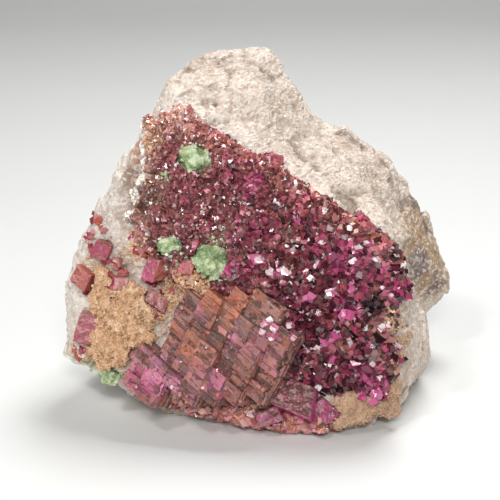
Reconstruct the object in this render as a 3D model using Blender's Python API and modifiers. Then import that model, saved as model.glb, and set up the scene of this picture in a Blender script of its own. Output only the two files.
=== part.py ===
"""Cobaltoan calcite specimen: a druse of rose calcite crystals on a broken block of pale dolomite.

The block stands on a flat break at Z = 0. X runs to the viewer's right, Y away from the viewer
and Z up. The druse covers the front, with one large stepped crystal at its foot, earthy ochre
on both sides of it and a few tufts of malachite. Corner points and sizes are in millimetres.
"""

import itertools
import math
import random

import bmesh
import bpy
from mathutils import Matrix, Quaternion, Vector, noise
from mathutils.bvhtree import BVHTree

MM = 0.001
GAP = 0.3
SEED = 7
SHORTEST_EDGE = 0.004
FLAT_ANGLE = math.radians(0.03)
# A place in front of everything, from which lines run back to the surfaces
VIEWER_Y = -60

# The broken block, as the corners of four overlapping lumps of the same rock
BODY_CORNERS = (
    (-15, -1, -2), (-3, -6, -2), (11, -10, -2), (20, -8, -2), (26, 4, -2), (24, 18, -2),
    (8, 26, -2), (-12, 24, -2), (-20, 12, -2), (-8, -11, 4.5), (-18, -10, 8), (-25, -8, 10.5),
    (1, -11, 2), (17.5, -12, 1.5), (25, -10, 5.5), (28, -9.8, 11), (-33.4, -2, 12), (-36, 5, 9),
    (-35.8, 6, 15), (-34.7, 0.5, 18), (-35, 7, 22), (-33.2, 0.5, 26), (-32.4, 8, 29.5),
    (-29.3, 0.5, 34.5), (-28.9, 10, 38.5), (-23.3, 1, 43), (-24.3, 10, 46.8), (-18.4, 2, 54.5),
    (-5.8, 0.4, 54.6), (2.2, -2, 49.8), (9.1, -4, 45.8), (17.2, -6, 40.8), (24.4, -7.6, 36.9),
    (27.6, -7.6, 32.7), (27.2, -9, 25), (26.6, -9.6, 18), (20, 20, 49), (9.5, 21, 53.5),
    (24, 24, 36), (-26, 22, 16), (-22, 27, 32), (-9, 29, 46), (8, 33, 40), (20, 33, 20), (-14, 29, 10),
)
CROWN_CORNERS = (
    (-19.5, 2, 53.6), (-19.2, 10, 53.6), (-13, 3, 58.6), (-14.2, 12, 62.3), (-9.4, 12, 66.4),
    (-3.5, 14, 67.9), (1.2, 14.5, 68.3), (3.4, 16, 66.4), (7, 19.5, 59.8), (10.4, 21, 53.6),
    (-5.8, 0.6, 54.8), (2.2, -1.2, 49.6), (-8, 26, 54), (4, 28, 50), (-20, 14, 44), (8, 10, 40),
    (9, 9, 51), (14.5, 16, 50.6), (-10, 29, 48), (-21, 21, 41), (6, 31, 46), (-25, 12, 40),
)
SHOULDER_CORNERS = (
    (18.5, 22, 50.6), (23.5, 21, 46), (27.6, 20, 42.2), (32, 25, 37.2), (35.3, 27, 32), (38.9, 29, 24),
    (41.4, 30, 17.6), (40.8, 28, 13.8), (36, 26, 9), (12, 28, 46), (22, 36, 28), (22, 34, 10),
    (18, 12, 40), (14, 14, 12), (30, 12, 26), (36, 34, 16),
)
HEEL_CORNERS = (
    (27.6, -9.4, 12), (25.4, -9, 4.6), (28.9, 2, 0.5), (35.6, 8, 5.6), (36.4, 17, 9), (33, 16, -2),
    (24, 0, -2), (27, -7, 24), (32, 10, 24), (16, 20, 4), (14, 0, 16),
)
BLOCK_LUMPS = (BODY_CORNERS, CROWN_CORNERS, SHOULDER_CORNERS, HEEL_CORNERS)

# Hollows and swells of the block's surface: centre, reach and height, where a hollow is negative
SURFACE_SWELLS = (
    ((-20, 1, 44), 6.5, -1.5),
    ((-27.5, -3, 22), 9, -1.8),
    ((-17, -4, 27), 8, -1.3),
    ((-24, -1, 33), 4, 0.9),
    ((20, -9, 7), 6, -1.2),
    ((33, 12, 24), 8, -2.2),
    ((-30, 14, 26), 9, -1.6),
    ((2, 30, 44), 10, -1.8),
    ((-16, 28, 22), 9, -2.0),
    ((20, 8, 45), 9, -0.8),
)
BROAD_BUMPS = (11.0, 1.0)
FINE_BUMPS = (4.2, 0.55)
BLOCK_VOXEL = 1.3
BLOCK_TRIANGLES = 2150

# Calcite breaks and grows in rhombs: each edge leans this far from the crystal's three-fold axis
EDGE_TILT = math.radians(63.7)
# The distance between a rhomb's opposite faces, as a share of the edge between them
RHOMB_SQUARENESS = 0.945

# The druse and the crust at its foot, as outlines seen from the front (X, Z): their floor, the number of
# crystals that stand on each and the size of those
DRUSE_OUTLINE = (
    (-19.5, 53.5), (-13, 58.2), (-5.8, 54.2), (2.2, 49.4), (9.1, 45.4), (17.2, 40.6), (24.2, 36.8),
    (27.4, 32.7), (27.2, 25), (25.6, 21), (26, 15), (27, 10.8), (22.5, 9.6), (17, 8), (12, 9), (4, 12),
    (-10, 17), (-12, 26), (-16.5, 31), (-20, 34), (-21, 39), (-20, 46),
)
FOOT_OUTLINE = (
    (14, 1.6), (14, 5), (5, 8), (-6, 11), (-16, 12), (-20.5, 13), (-23.6, 8.6), (-17, 6.4), (-8, 4.2),
    (0, 1.4), (8, 0.8),
)
CRUST_FLOOR = 1.1
CRYSTAL_TRIES = 6000
CRYSTAL_SPACING = 0.72
CRUSTS = (
    ("calcite_druse", DRUSE_OUTLINE, 86),
    ("calcite_foot_crust", FOOT_OUTLINE, 12),
)
FINEST_CRYSTAL, COARSEST_CRYSTAL = 1.9, 3.6

# The stepped crystal: its outline from the front (X, Z), the middle of its face, the face's normal and
# one edge, its cells and its steps
STEPPED_OUTLINE = (
    (-23, 10.5), (-18.5, 17), (-11.5, 25.4), (-3, 27.6), (6, 25.6), (7, 20.5), (6, 14.5),
    (1.6, 9.5), (-7, 8.6), (-16, 9.5),
)
STEPPED_CENTRE = (-7.5, -14.2, 16.5)
STEPPED_NORMAL = (-0.14, -0.90, 0.40)
STEPPED_EDGE = (0.76, 0.0, -0.64)
STEPPED_CELLS = (13, 15)
STEPPED_CELL = (3.6, 2.7)
CELL_WEAR = 0.2
STEP_HEIGHT = 0.6
# How many steps the face's roughness makes, and how many it falls off by towards its ends, a cell squared
STEP_RANGE = 4.5
STEP_FALL = (0.06, 0.04)
STEPPED_DEPTH = 10.3

# Calcite crystals that stand alone: name, middle from the front (X, Z), edge lengths, face normal and
# one edge, and how far the middle stands out of the rock
LONE_CRYSTALS = (
    ("rhomb_rose", (-17.2, 29.6), (4.2, 3.6, 3.8), (-0.72, -0.62, 0.32), (0.25, 0.1, 0.96), 1.3),
    ("rhomb_garnet", (-17.0, 23.6), (4.4, 2.6, 2.8), (0.30, -0.84, 0.45), (0.74, 0.1, -0.66), 0.8),
    ("rhomb_left_foot", (-30.2, 17.6), (5.6, 4.2, 4.4), (-0.28, -0.90, 0.32), (0.20, 0.0, 0.98), 0.7),
    ("rhomb_left_crown", (-30.4, 26.6), (3.6, 3.3, 3.6), (-0.30, -0.88, 0.36), (0.80, 0.0, -0.60), 0.9),
    ("rhomb_crimson", (-27.0, 32.4), (3.0, 3.8, 3.0), (-0.50, -0.82, 0.20), (0.35, 0.0, 0.94), 0.5),
    ("rhomb_bead", (-24.4, 26.6), (2.3, 2.7, 2.4), (0.35, -0.88, 0.30), (0.30, 0.0, 0.95), 0.8),
    ("rhomb_pink_foot", (-20.0, 14.6), (3.1, 2.5, 2.8), (0.20, -0.92, 0.34), (0.70, 0.0, 0.72), 0.9),
    ("rhomb_coral", (-11.4, 30.6), (2.6, 2.9, 2.6), (-0.35, -0.88, 0.32), (0.25, 0.0, 0.97), 1.2),
)

# The crystal at the druse's foot: the radius of its heart, and three rhombs grown together about it
FOOT_HEART = 1.3
FOOT_CRYSTALS = (
    ((8.6, -12.4, 6.9), (7.6, 6.2, 5.4), (0.06, -0.72, 0.69), (0.86, 0.0, -0.50)),
    ((12.9, -12.0, 4.6), (4.4, 4.6, 4.2), (0.25, -0.86, 0.44), (0.80, 0.0, 0.60)),
    ((3.9, -13.2, 4.0), (4.6, 3.2, 4.0), (-0.20, -0.80, 0.55), (0.90, 0.0, 0.30)),
)

# Malachite tufts: name, middle from the front (X, Z), width, height and thickness, and the fineness of
# the mesh
MALACHITE_TUFTS = (
    ("malachite_upper", (-9.9, 49.2), 6.6, 5.0, 2.6, 3),
    ("malachite_middle", (-7.0, 31.4), 7.0, 6.2, 4.4, 3),
    ("malachite_olive", (-14.6, 33.6), 6.0, 3.8, 2.4, 2),
    ("malachite_corner", (-25.8, 10.2), 3.4, 4.8, 2.6, 2),
)
TUFT_LUMP = (1.9, 0.55)

# Earthy ochre, as outlines from the front (X, Z), with the thickness of each bed and its lumps
OCHRE_LEFT_OUTLINE = (
    (-25.6, 26.2), (-22.2, 26.8), (-19.4, 25.5), (-18, 23.5), (-17.8, 20.1), (-19.2, 16.8),
    (-21.6, 14.9), (-23.4, 12.2), (-26.3, 12), (-28.7, 14.2), (-27.8, 18.7), (-28.2, 22), (-27.2, 24.3),
    (-29.3, 25.8), (-29.1, 28.4), (-26.4, 29),
)
OCHRE_RIGHT_OUTLINE = (
    (27.3, 10.2), (28.4, 8), (25.6, 4.6), (20, 2.8), (16.4, 2.2), (15.6, 4), (17.6, 7), (21.5, 8.6), (24, 9.4),
)
OCHRE_BEDS = (
    ("ochre_left", OCHRE_LEFT_OUTLINE, 1.3, 26, 520),
    ("ochre_right", OCHRE_RIGHT_OUTLINE, 0.9, 12, 260),
)
OCHRE_LUMP = (1.4, 2.4)
OCHRE_VOXEL = 0.55


def clear_scene():
    for obj in list(bpy.data.objects):
        bpy.data.objects.remove(obj, do_unlink=True)


def make_material(name, colour, roughness):
    material = bpy.data.materials.new(name)
    material.use_nodes = True
    shader = material.node_tree.nodes["Principled BSDF"]
    shader.inputs["Base Color"].default_value = (*colour, 1.0)
    shader.inputs["Roughness"].default_value = roughness
    shader.inputs["Metallic"].default_value = 0.0
    return material


def make_object(name, mesh_builder, material=None):
    """An object in metres from a bmesh in millimetres."""
    mesh = bpy.data.meshes.new(name)
    bmesh.ops.scale(mesh_builder, vec=(MM, MM, MM), verts=mesh_builder.verts)
    bmesh.ops.recalc_face_normals(mesh_builder, faces=mesh_builder.faces)
    mesh_builder.to_mesh(mesh)
    mesh_builder.free()
    obj = bpy.data.objects.new(name, mesh)
    PARTS.objects.link(obj)
    if material:
        mesh.materials.append(material)
    return obj


def close_short_edges(builder):
    """Draws the ends of each hair-short edge together, where that leaves the surface whole."""
    short = True
    while short:
        short = None
        for edge in builder.edges:
            if edge.calc_length() < SHORTEST_EDGE * MM:
                a, b = edge.verts
                shared = {e.other_vert(a) for e in a.link_edges} & {e.other_vert(b) for e in b.link_edges}
                if len(shared) == 2:
                    short = edge
                    break
        if short:
            bmesh.ops.pointmerge(builder, verts=short.verts, merge_co=short.verts[0].co)


def take_shape(obj):
    """Bakes the object's modifiers into its mesh."""
    graph = bpy.context.evaluated_depsgraph_get()
    shaped = bpy.data.meshes.new_from_object(obj.evaluated_get(graph), depsgraph=graph)
    obj.modifiers.clear()
    builder = bmesh.new()
    builder.from_mesh(shaped)
    bmesh.ops.dissolve_limit(builder, angle_limit=FLAT_ANGLE, verts=builder.verts, edges=builder.edges)
    bmesh.ops.triangulate(builder, faces=builder.faces)
    close_short_edges(builder)
    builder.to_mesh(shaped)
    builder.free()
    obj.data = shaped


def combine(obj, tool, operation, solver="EXACT", crossing=False):
    """Cuts, joins or intersects obj with tool, and removes the tool."""
    modifier = obj.modifiers.new(operation.lower(), "BOOLEAN")
    modifier.operation = operation
    modifier.solver = solver
    modifier.use_self = crossing
    modifier.object = tool
    take_shape(obj)
    bpy.data.objects.remove(tool, do_unlink=True)


def add_hull(builder, corners):
    verts = [builder.verts.new(corner) for corner in corners]
    made = bmesh.ops.convex_hull(builder, input=verts)
    inner = {v for v in made["geom_interior"] + made["geom_unused"] if isinstance(v, bmesh.types.BMVert)}
    bmesh.ops.delete(builder, geom=list(inner), context="VERTS")


def grown_copy(obj, by):
    """A copy whose surface stands out from obj's by this many millimetres."""
    copy = obj.copy()
    copy.data = obj.data.copy()
    PARTS.objects.link(copy)
    normals = [v.normal.copy() for v in copy.data.vertices]
    for vertex, normal in zip(copy.data.vertices, normals):
        vertex.co += normal * by * MM
    return copy


def keep_largest_body(obj):
    """Drops the chips that a cut leaves beside the main body."""
    builder = bmesh.new()
    builder.from_mesh(obj.data)
    unseen = set(builder.verts)
    bodies = []
    while unseen:
        front = [unseen.pop()]
        body = set(front)
        while front:
            for edge in front.pop().link_edges:
                for vertex in edge.verts:
                    if vertex in unseen:
                        unseen.discard(vertex)
                        body.add(vertex)
                        front.append(vertex)
        bodies.append(body)
    largest = max(bodies, key=len)
    chips = [v for body in bodies if body is not largest for v in body]
    bmesh.ops.delete(builder, geom=chips, context="VERTS")
    builder.to_mesh(obj.data)
    builder.free()


def bump(point, size, height, offset):
    """Smooth relief of this height, in lumps about this size, at a point in millimetres."""
    return height * noise.fractal(point / size + Vector(offset), 0.9, 2.1, 3)


def swell_at(point):
    total = 0.0
    for centre, reach, height in SURFACE_SWELLS:
        away = (point - Vector(centre)).length / reach
        if away < 1.0:
            total += height * (1.0 - away * away) ** 2
    return total


def make_block(material):
    """The dolomite: overlapping lumps made one, roughened, thinned out and cut flat at the base."""
    builder = bmesh.new()
    for corners in BLOCK_LUMPS:
        add_hull(builder, corners)
    block = make_object("matrix_rock", builder, material)
    remesh = block.modifiers.new("one_rock", "REMESH")
    remesh.mode = "VOXEL"
    remesh.voxel_size = BLOCK_VOXEL * MM
    take_shape(block)
    normals = [v.normal.copy() for v in block.data.vertices]
    for vertex, normal in zip(block.data.vertices, normals):
        point = vertex.co / MM
        relief = bump(point, *BROAD_BUMPS, (3.1, 0.4, 8.2)) + bump(point, *FINE_BUMPS, (9.7, 5.5, 1.3))
        vertex.co += normal * (relief + swell_at(point)) * MM
    thin = block.modifiers.new("thin_out", "DECIMATE")
    thin.ratio = BLOCK_TRIANGLES / len(block.data.polygons)
    take_shape(block)
    builder = bmesh.new()
    builder.from_mesh(block.data)
    cut = bmesh.ops.bisect_plane(
        builder,
        geom=[*builder.verts, *builder.edges, *builder.faces],
        plane_co=(0, 0, 0),
        plane_no=(0, 0, 1),
        clear_inner=True,
    )
    rim = [edge for edge in cut["geom_cut"] if isinstance(edge, bmesh.types.BMEdge)]
    bmesh.ops.contextual_create(builder, geom=rim)
    bmesh.ops.recalc_face_normals(builder, faces=builder.faces)
    builder.to_mesh(block.data)
    builder.free()
    block.data.materials.clear()
    block.data.materials.append(material)
    return block


def rhomb_edges(normal, edge):
    """Three unit edges of a calcite rhomb with one face square to normal and one edge along edge.

    The third edge points into the crystal, away from the face."""
    lean, rise = math.sin(EDGE_TILT), math.cos(EDGE_TILT)
    turns = (0, math.tau / 3, 2 * math.tau / 3)
    a, b, c = (Vector((lean * math.cos(turn), lean * math.sin(turn), rise)) for turn in turns)
    own_normal = a.cross(b).normalized()
    own = Matrix((a, own_normal.cross(a), own_normal)).transposed()
    normal = Vector(normal).normalized()
    edge = Vector(edge)
    edge = (edge - normal * edge.dot(normal)).normalized()
    wanted = Matrix((edge, normal.cross(edge), normal)).transposed()
    turn = wanted @ own.inverted()
    a, b, c = turn @ a, turn @ b, turn @ c
    return a, b, c if c.dot(normal) < 0 else -c


def add_rhomb(builder, centre, edges, sizes, grow=0.0):
    """One rhomb with its middle at centre, in millimetres, and its faces moved out by grow."""
    sizes = [size + 2 * grow / RHOMB_SQUARENESS for size in sizes]
    shape = Matrix([edge * size for edge, size in zip(edges, sizes)]).transposed().to_4x4()
    bmesh.ops.create_cube(builder, size=1.0, matrix=Matrix.Translation(centre) @ shape)


def inside_outline(x, z, outline):
    """Whether a point seen from the front lies within an outline."""
    inside = False
    for (x0, z0), (x1, z1) in zip(outline, outline[1:] + outline[:1]):
        if (z0 > z) != (z1 > z) and x < x0 + (x1 - x0) * (z - z0) / (z1 - z0):
            inside = not inside
    return inside


def surface_of(obj):
    builder = bmesh.new()
    builder.from_mesh(obj.data)
    tree = BVHTree.FromBMesh(builder)
    builder.free()
    return tree


def front_point(tree, x, z):
    """Where a line from the viewer first meets a surface, and the normal there, in millimetres."""
    hit, normal, _, _ = tree.ray_cast(Vector((x, VIEWER_Y, z)) * MM, Vector((0, 1, 0)))
    return (hit / MM, normal) if hit else (None, None)


def make_slab(name, outline, block, thickness, material):
    """A layer over the block's front within an outline, as thick as told."""
    outline_curve = bpy.data.curves.new(name, "CURVE")
    outline_curve.dimensions = "2D"
    outline_curve.fill_mode = "BOTH"
    outline_curve.extrude = 16 * MM
    spline = outline_curve.splines.new("POLY")
    spline.points.add(len(outline) - 1)
    for point, (x, z) in zip(spline.points, outline):
        point.co = (x * MM, z * MM, 0, 1)
    spline.use_cyclic_u = True
    plate = bpy.data.objects.new(name, outline_curve)
    PARTS.objects.link(plate)
    plate.matrix_world = Matrix.Translation((0, -2 * MM, 0)) @ Matrix.Rotation(math.pi / 2, 4, "X")
    bpy.context.view_layer.update()
    graph = bpy.context.evaluated_depsgraph_get()
    mesh = bpy.data.meshes.new_from_object(plate.evaluated_get(graph), depsgraph=graph)
    mesh.transform(plate.matrix_world)
    bpy.data.objects.remove(plate, do_unlink=True)
    builder = bmesh.new()
    builder.from_mesh(mesh)
    bmesh.ops.remove_doubles(builder, verts=builder.verts, dist=0.01 * MM)
    bmesh.ops.scale(builder, vec=(1 / MM, 1 / MM, 1 / MM), verts=builder.verts)
    slab = make_object(name, builder, material)
    combine(slab, grown_copy(block, GAP + thickness), "INTERSECT")
    return slab


def crystal_size(x, z):
    """The druse's crystals coarsen from its top left to its right side."""
    along = (x + 20) / 48 * 0.6 + (56 - z) / 50 * 0.4
    along *= 1 if z > FOOT_OUTLINE[2][1] else 0.3
    return FINEST_CRYSTAL + (COARSEST_CRYSTAL - FINEST_CRYSTAL) * min(1.0, max(0.0, along))


def make_crust(spec, block, tree, material):
    """A crystal crust: its floor and the larger crystals that stand on it, grown into one."""
    name, outline, count = spec
    crust = make_slab(name, outline, block, CRUST_FLOOR, material)
    chance = random.Random(SEED)
    low_x, high_x = min(x for x, _ in outline), max(x for x, _ in outline)
    low_z, high_z = min(z for _, z in outline), max(z for _, z in outline)
    builder = bmesh.new()
    placed = []
    for _ in range(CRYSTAL_TRIES):
        x, z = chance.uniform(low_x, high_x), chance.uniform(low_z, high_z)
        size = crystal_size(x, z) * chance.uniform(0.75, 1.3)
        spin = Quaternion([chance.gauss(0, 1) for _ in range(4)]).normalized()
        if len(placed) >= count or not inside_outline(x, z, outline):
            continue
        hit, normal = front_point(tree, x, z)
        if hit is None or hit.z < size:
            continue
        if any((hit - place).length < CRYSTAL_SPACING * (size + near) for place, near in placed):
            continue
        placed.append((hit, size))
        edges = [spin @ edge for edge in rhomb_edges((0, 0, 1), (1, 0, 0))]
        add_rhomb(builder, hit + normal * (GAP + CRUST_FLOOR + 0.1 * size), edges, [size] * 3)
    combine(crust, make_object("crystals", builder), "UNION", crossing=True)
    return crust


def cell_heights():
    """How far the top of each cell of the stepped crystal stands out from the middle of its face."""
    a, b, _ = rhomb_edges(STEPPED_NORMAL, STEPPED_EDGE)
    chance = random.Random(SEED)
    across, along = STEPPED_CELLS
    heights = {}
    for i in range(across):
        for j in range(along):
            u, v = i - (across - 1) / 2, j - (along - 1) / 2
            middle = Vector(STEPPED_CENTRE) + a * (u * STEPPED_CELL[0]) + b * (v * STEPPED_CELL[1])
            if inside_outline(middle.x, middle.z, STEPPED_OUTLINE):
                roughness = noise.noise(Vector((i * 0.83, j * 0.61, 4.2)))
                steps = round(STEP_RANGE * roughness - STEP_FALL[0] * u * u - STEP_FALL[1] * v * v)
                heights[i, j] = steps * STEP_HEIGHT + chance.uniform(0, CELL_WEAR)
    return bridge_touching_cells(heights)


def bridge_touching_cells(heights):
    """Raises a cell beside each pair of higher ones that would meet only along an edge."""
    lowest = -STEPPED_DEPTH
    found = True
    while found:
        found = False
        for (i, j), height in list(heights.items()):
            for side in (1, -1):
                shared = min(height, heights.get((i + 1, j + side), lowest))
                if shared > max(heights.get((i + 1, j), lowest), heights.get((i, j + side), lowest)):
                    heights[i + 1, j] = shared
                    found = True
    return heights


def make_stepped_crystal(material, grow=0.0):
    """The large crystal: blocks of its rhomb lattice, each cut off at its own step of the face.

    A grown crystal also has a narrow zone along each line between cells, as high as its higher side."""
    a, b, inward = rhomb_edges(STEPPED_NORMAL, STEPPED_EDGE)
    heights = cell_heights()
    builder = bmesh.new()
    made = {}

    def cells_of(zone):
        if not grow:
            return [zone]
        return [(zone - 1) // 2] if zone % 2 else [zone // 2 - 1, zone // 2]

    def level(i, j):
        found = [heights[cell] for cell in itertools.product(cells_of(i), cells_of(j)) if cell in heights]
        return max(found) + grow if found else -STEPPED_DEPTH - grow

    def line_at(line, count, size):
        if not grow:
            return (line - count / 2) * size
        return (line // 2 - count / 2) * size + (grow if line % 2 else -grow) / RHOMB_SQUARENESS

    def corner(i, j, height):
        if (i, j, height) not in made:
            u = line_at(i, STEPPED_CELLS[0], STEPPED_CELL[0])
            v = line_at(j, STEPPED_CELLS[1], STEPPED_CELL[1])
            made[i, j, height] = builder.verts.new(Vector(STEPPED_CENTRE) + a * u + b * v - inward * height)
        return made[i, j, height]

    def upright(i, j, low, high):
        levels = {level(i - 1, j - 1), level(i - 1, j), level(i, j - 1), level(i, j)}
        return [corner(i, j, height) for height in sorted(levels) if low <= height <= high]

    zones = [count * 2 + 1 if grow else count for count in STEPPED_CELLS]
    for i, j in itertools.product(range(zones[0]), range(zones[1])):
        top, foot = level(i, j), -STEPPED_DEPTH - grow
        if top == foot:
            continue
        ring = ((i, j), (i + 1, j), (i + 1, j + 1), (i, j + 1))
        for height in (top, foot):
            builder.faces.new([corner(*place, height) for place in ring])
        beside = (level(i, j - 1), level(i + 1, j), level(i, j + 1), level(i - 1, j))
        for start, end, low in zip(ring, ring[1:] + ring[:1], beside):
            if low < top:
                builder.faces.new(upright(*start, low, top)[::-1] + upright(*end, low, top))
    return make_object("stepped_calcite_crystal", builder, material)


def make_lone_crystal(spec, tree, material, grow=0.0):
    name, (x, z), sizes, normal, edge, stand = spec
    hit, _ = front_point(tree, x, z)
    centre = hit + Vector((0, -stand, 0))
    builder = bmesh.new()
    add_rhomb(builder, centre, rhomb_edges(normal, edge), sizes, grow)
    return make_object(name, builder, material)


def make_foot_crystal(material, grow=0.0):
    builder = bmesh.new()
    for centre, sizes, normal, edge in FOOT_CRYSTALS:
        add_rhomb(builder, Vector(centre), rhomb_edges(normal, edge), sizes, grow)
    foot = make_object("foot_calcite_crystal", builder, material)
    heart = bmesh.new()
    middle = Matrix.Translation(FOOT_CRYSTALS[0][0])
    bmesh.ops.create_icosphere(heart, subdivisions=1, radius=FOOT_HEART, matrix=middle)
    combine(foot, make_object("heart", heart), "UNION", crossing=True)
    return foot


def make_tuft(spec, tree, material, grow=0.0):
    """A malachite tuft: a flattened ball with a lumpy surface, sunk in what it grew on."""
    name, (x, z), width, height, thickness, fineness = spec
    hit, normal = front_point(tree, x, z)
    builder = bmesh.new()
    bmesh.ops.create_icosphere(builder, subdivisions=fineness, radius=1.0)
    turn = normal.to_track_quat("Z", "Y").to_matrix()
    for vertex in builder.verts:
        direction = vertex.co.copy()
        flat = Vector((direction.x * width / 2, direction.y * height / 2, direction.z * thickness))
        reach = flat.length + bump(flat, *TUFT_LUMP, (x, z, 0)) + grow
        vertex.co = hit + normal * (GAP + CRUST_FLOOR * 0.5) + turn @ (flat.normalized() * reach)
    return make_object(name, builder, material)


def make_ochre_bed(spec, block, material):
    """Earthy ochre: a thin bed with round lumps on it, melted into one crumbly mass."""
    name, outline, thickness, lumps, triangles = spec
    bed = make_slab(name, outline, block, thickness, material)
    chance = random.Random(SEED)
    tree = surface_of(block)
    low_x, high_x = min(x for x, _ in outline), max(x for x, _ in outline)
    low_z, high_z = min(z for _, z in outline), max(z for _, z in outline)
    builder = bmesh.new()
    made = 0
    while made < lumps:
        x, z = chance.uniform(low_x, high_x), chance.uniform(low_z, high_z)
        radius = chance.uniform(*OCHRE_LUMP)
        hit, normal = front_point(tree, x, z)
        if inside_outline(x, z, outline) and hit is not None:
            middle = Matrix.Translation(hit + normal * (GAP + thickness * 0.7))
            bmesh.ops.create_icosphere(builder, subdivisions=2, radius=radius, matrix=middle)
            made += 1
    combine(bed, make_object("lumps", builder), "UNION", crossing=True)
    remesh = bed.modifiers.new("one_mass", "REMESH")
    remesh.mode = "VOXEL"
    remesh.voxel_size = OCHRE_VOXEL * MM
    take_shape(bed)
    thin = bed.modifiers.new("thin_out", "DECIMATE")
    thin.ratio = triangles / len(bed.data.polygons)
    take_shape(bed)
    bed.data.materials.append(material)
    return bed


def cut_away(obj, *tools):
    for tool in tools:
        combine(obj, tool, "DIFFERENCE", "MANIFOLD")
    keep_largest_body(obj)


clear_scene()
PARTS = bpy.data.collections.new("cobaltoan_calcite_specimen")
bpy.context.scene.collection.children.link(PARTS)

dolomite = make_material("pale_dolomite", (0.72, 0.66, 0.58), 0.85)
rose = make_material("rose_calcite", (0.42, 0.07, 0.16), 0.3)
stained = make_material("iron_stained_calcite", (0.40, 0.16, 0.12), 0.5)
green = make_material("malachite", (0.33, 0.55, 0.36), 0.8)
ochre = make_material("ochre_earth", (0.66, 0.45, 0.22), 0.95)

matrix_rock = make_block(dolomite)
rock_face = surface_of(matrix_rock)

stepped = make_stepped_crystal(stained)
cut_away(stepped, grown_copy(matrix_rock, GAP))
foot = make_foot_crystal(rose)
cut_away(foot, grown_copy(matrix_rock, GAP), make_stepped_crystal(stained, GAP))

for spec in LONE_CRYSTALS:
    crystal = make_lone_crystal(spec, rock_face, rose)
    cut_away(crystal, grown_copy(matrix_rock, GAP), make_stepped_crystal(stained, GAP))
for spec in MALACHITE_TUFTS:
    tuft = make_tuft(spec, rock_face, green)
    cut_away(tuft, grown_copy(matrix_rock, GAP), make_stepped_crystal(stained, GAP))
    for lone in LONE_CRYSTALS:
        combine(tuft, make_lone_crystal(lone, rock_face, rose, GAP), "DIFFERENCE", "MANIFOLD")

for spec in OCHRE_BEDS:
    bed = make_ochre_bed(spec, matrix_rock, ochre)
    cut_away(bed, grown_copy(matrix_rock, GAP))
    cut_away(bed, make_stepped_crystal(stained, GAP), make_foot_crystal(rose, GAP))
    for lone in LONE_CRYSTALS:
        combine(bed, make_lone_crystal(lone, rock_face, rose, GAP), "DIFFERENCE", "MANIFOLD")
    for tuft_spec in MALACHITE_TUFTS:
        combine(bed, make_tuft(tuft_spec, rock_face, green, GAP), "DIFFERENCE", "MANIFOLD")
    keep_largest_body(bed)

for spec in CRUSTS:
    crust = make_crust(spec, matrix_rock, rock_face, rose)
    cut_away(crust, grown_copy(matrix_rock, GAP))
    cut_away(crust, make_stepped_crystal(stained, GAP), make_foot_crystal(rose, GAP))
    for lone in LONE_CRYSTALS:
        combine(crust, make_lone_crystal(lone, rock_face, rose, GAP), "DIFFERENCE", "MANIFOLD")
    for tuft_spec in MALACHITE_TUFTS:
        combine(crust, make_tuft(tuft_spec, rock_face, green, GAP), "DIFFERENCE", "MANIFOLD")
    for bed_spec in OCHRE_BEDS:
        combine(crust, grown_copy(PARTS.objects[bed_spec[0]], GAP), "DIFFERENCE", "MANIFOLD")
    keep_largest_body(crust)
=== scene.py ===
"""The finish of a cobaltoan calcite specimen: sugary rock, a druse of rose crystals, and earths."""

import math

import bmesh
import bpy
import numpy as np
from mathutils import Matrix, Vector, noise
from mathutils.bvhtree import BVHTree


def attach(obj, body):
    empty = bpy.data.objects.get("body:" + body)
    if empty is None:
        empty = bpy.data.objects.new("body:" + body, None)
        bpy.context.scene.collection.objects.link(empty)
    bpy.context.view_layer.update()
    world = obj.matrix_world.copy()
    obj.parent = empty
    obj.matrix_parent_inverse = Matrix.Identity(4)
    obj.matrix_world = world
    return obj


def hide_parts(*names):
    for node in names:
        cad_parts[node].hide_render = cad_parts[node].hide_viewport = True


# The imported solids, and the photograph's view of them: a long lens before the druse, looking down on
# it a little. Places and sizes in this file are in millimetres, with X to the right, Y away and Z up.
MM = 0.001
VIEW_TARGET = Vector((0, 0, 31.6))
VIEW_DISTANCE = 310
VIEW_DOWN = math.radians(18)
VIEW_LENS = 120

# The vector noise starts from the clock unless it is seeded
noise.seed_set(1)
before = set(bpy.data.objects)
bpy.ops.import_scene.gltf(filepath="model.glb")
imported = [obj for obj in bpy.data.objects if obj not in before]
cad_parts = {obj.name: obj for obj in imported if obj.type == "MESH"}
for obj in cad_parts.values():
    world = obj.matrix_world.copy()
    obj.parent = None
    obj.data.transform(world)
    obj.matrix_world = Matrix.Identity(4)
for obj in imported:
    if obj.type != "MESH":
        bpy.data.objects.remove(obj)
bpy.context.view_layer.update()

to_lens = Vector((0, -math.cos(VIEW_DOWN), math.sin(VIEW_DOWN)))
camera = bpy.data.objects.new("camera", bpy.data.cameras.new("camera"))
camera.data.lens = VIEW_LENS
camera.data.clip_start = 0.01
camera.location = (VIEW_TARGET + to_lens * VIEW_DISTANCE) * MM
camera.rotation_euler = (-to_lens).to_track_quat("-Z", "Y").to_euler()
bpy.context.scene.collection.objects.link(camera)
bpy.context.scene.camera = camera

# The block is massive sugary dolomite, broken off by hammer: pale, flat-broken and finely pitted, with
# a proud weathered rim on its left, tan stains in its hollows and black oxide in a few seams. Shade is
# painted on it under the front's overhang, in its pits and grooves, and in part of the grey of its left
# flank.
ROCK_VOXEL = 0.44
# Relief of the broken faces, each kind by its size and height: chips, rounded lumps and grain
ROCK_CHIPS = ((7.5, 0.70), (2.6, 0.30))
ROCK_LUMPS = (3.2, 0.25)
ROCK_GRAIN = ((0.75, 0.16), (0.31, 0.15))
# Pits, where they come in swarms: their spacing, their reach as a share of it, and their depth
PIT_SPACING, PIT_REACH, PIT_DEPTH = 2.3, 0.24, 0.7
SWARM_SIZE = 7
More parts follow.
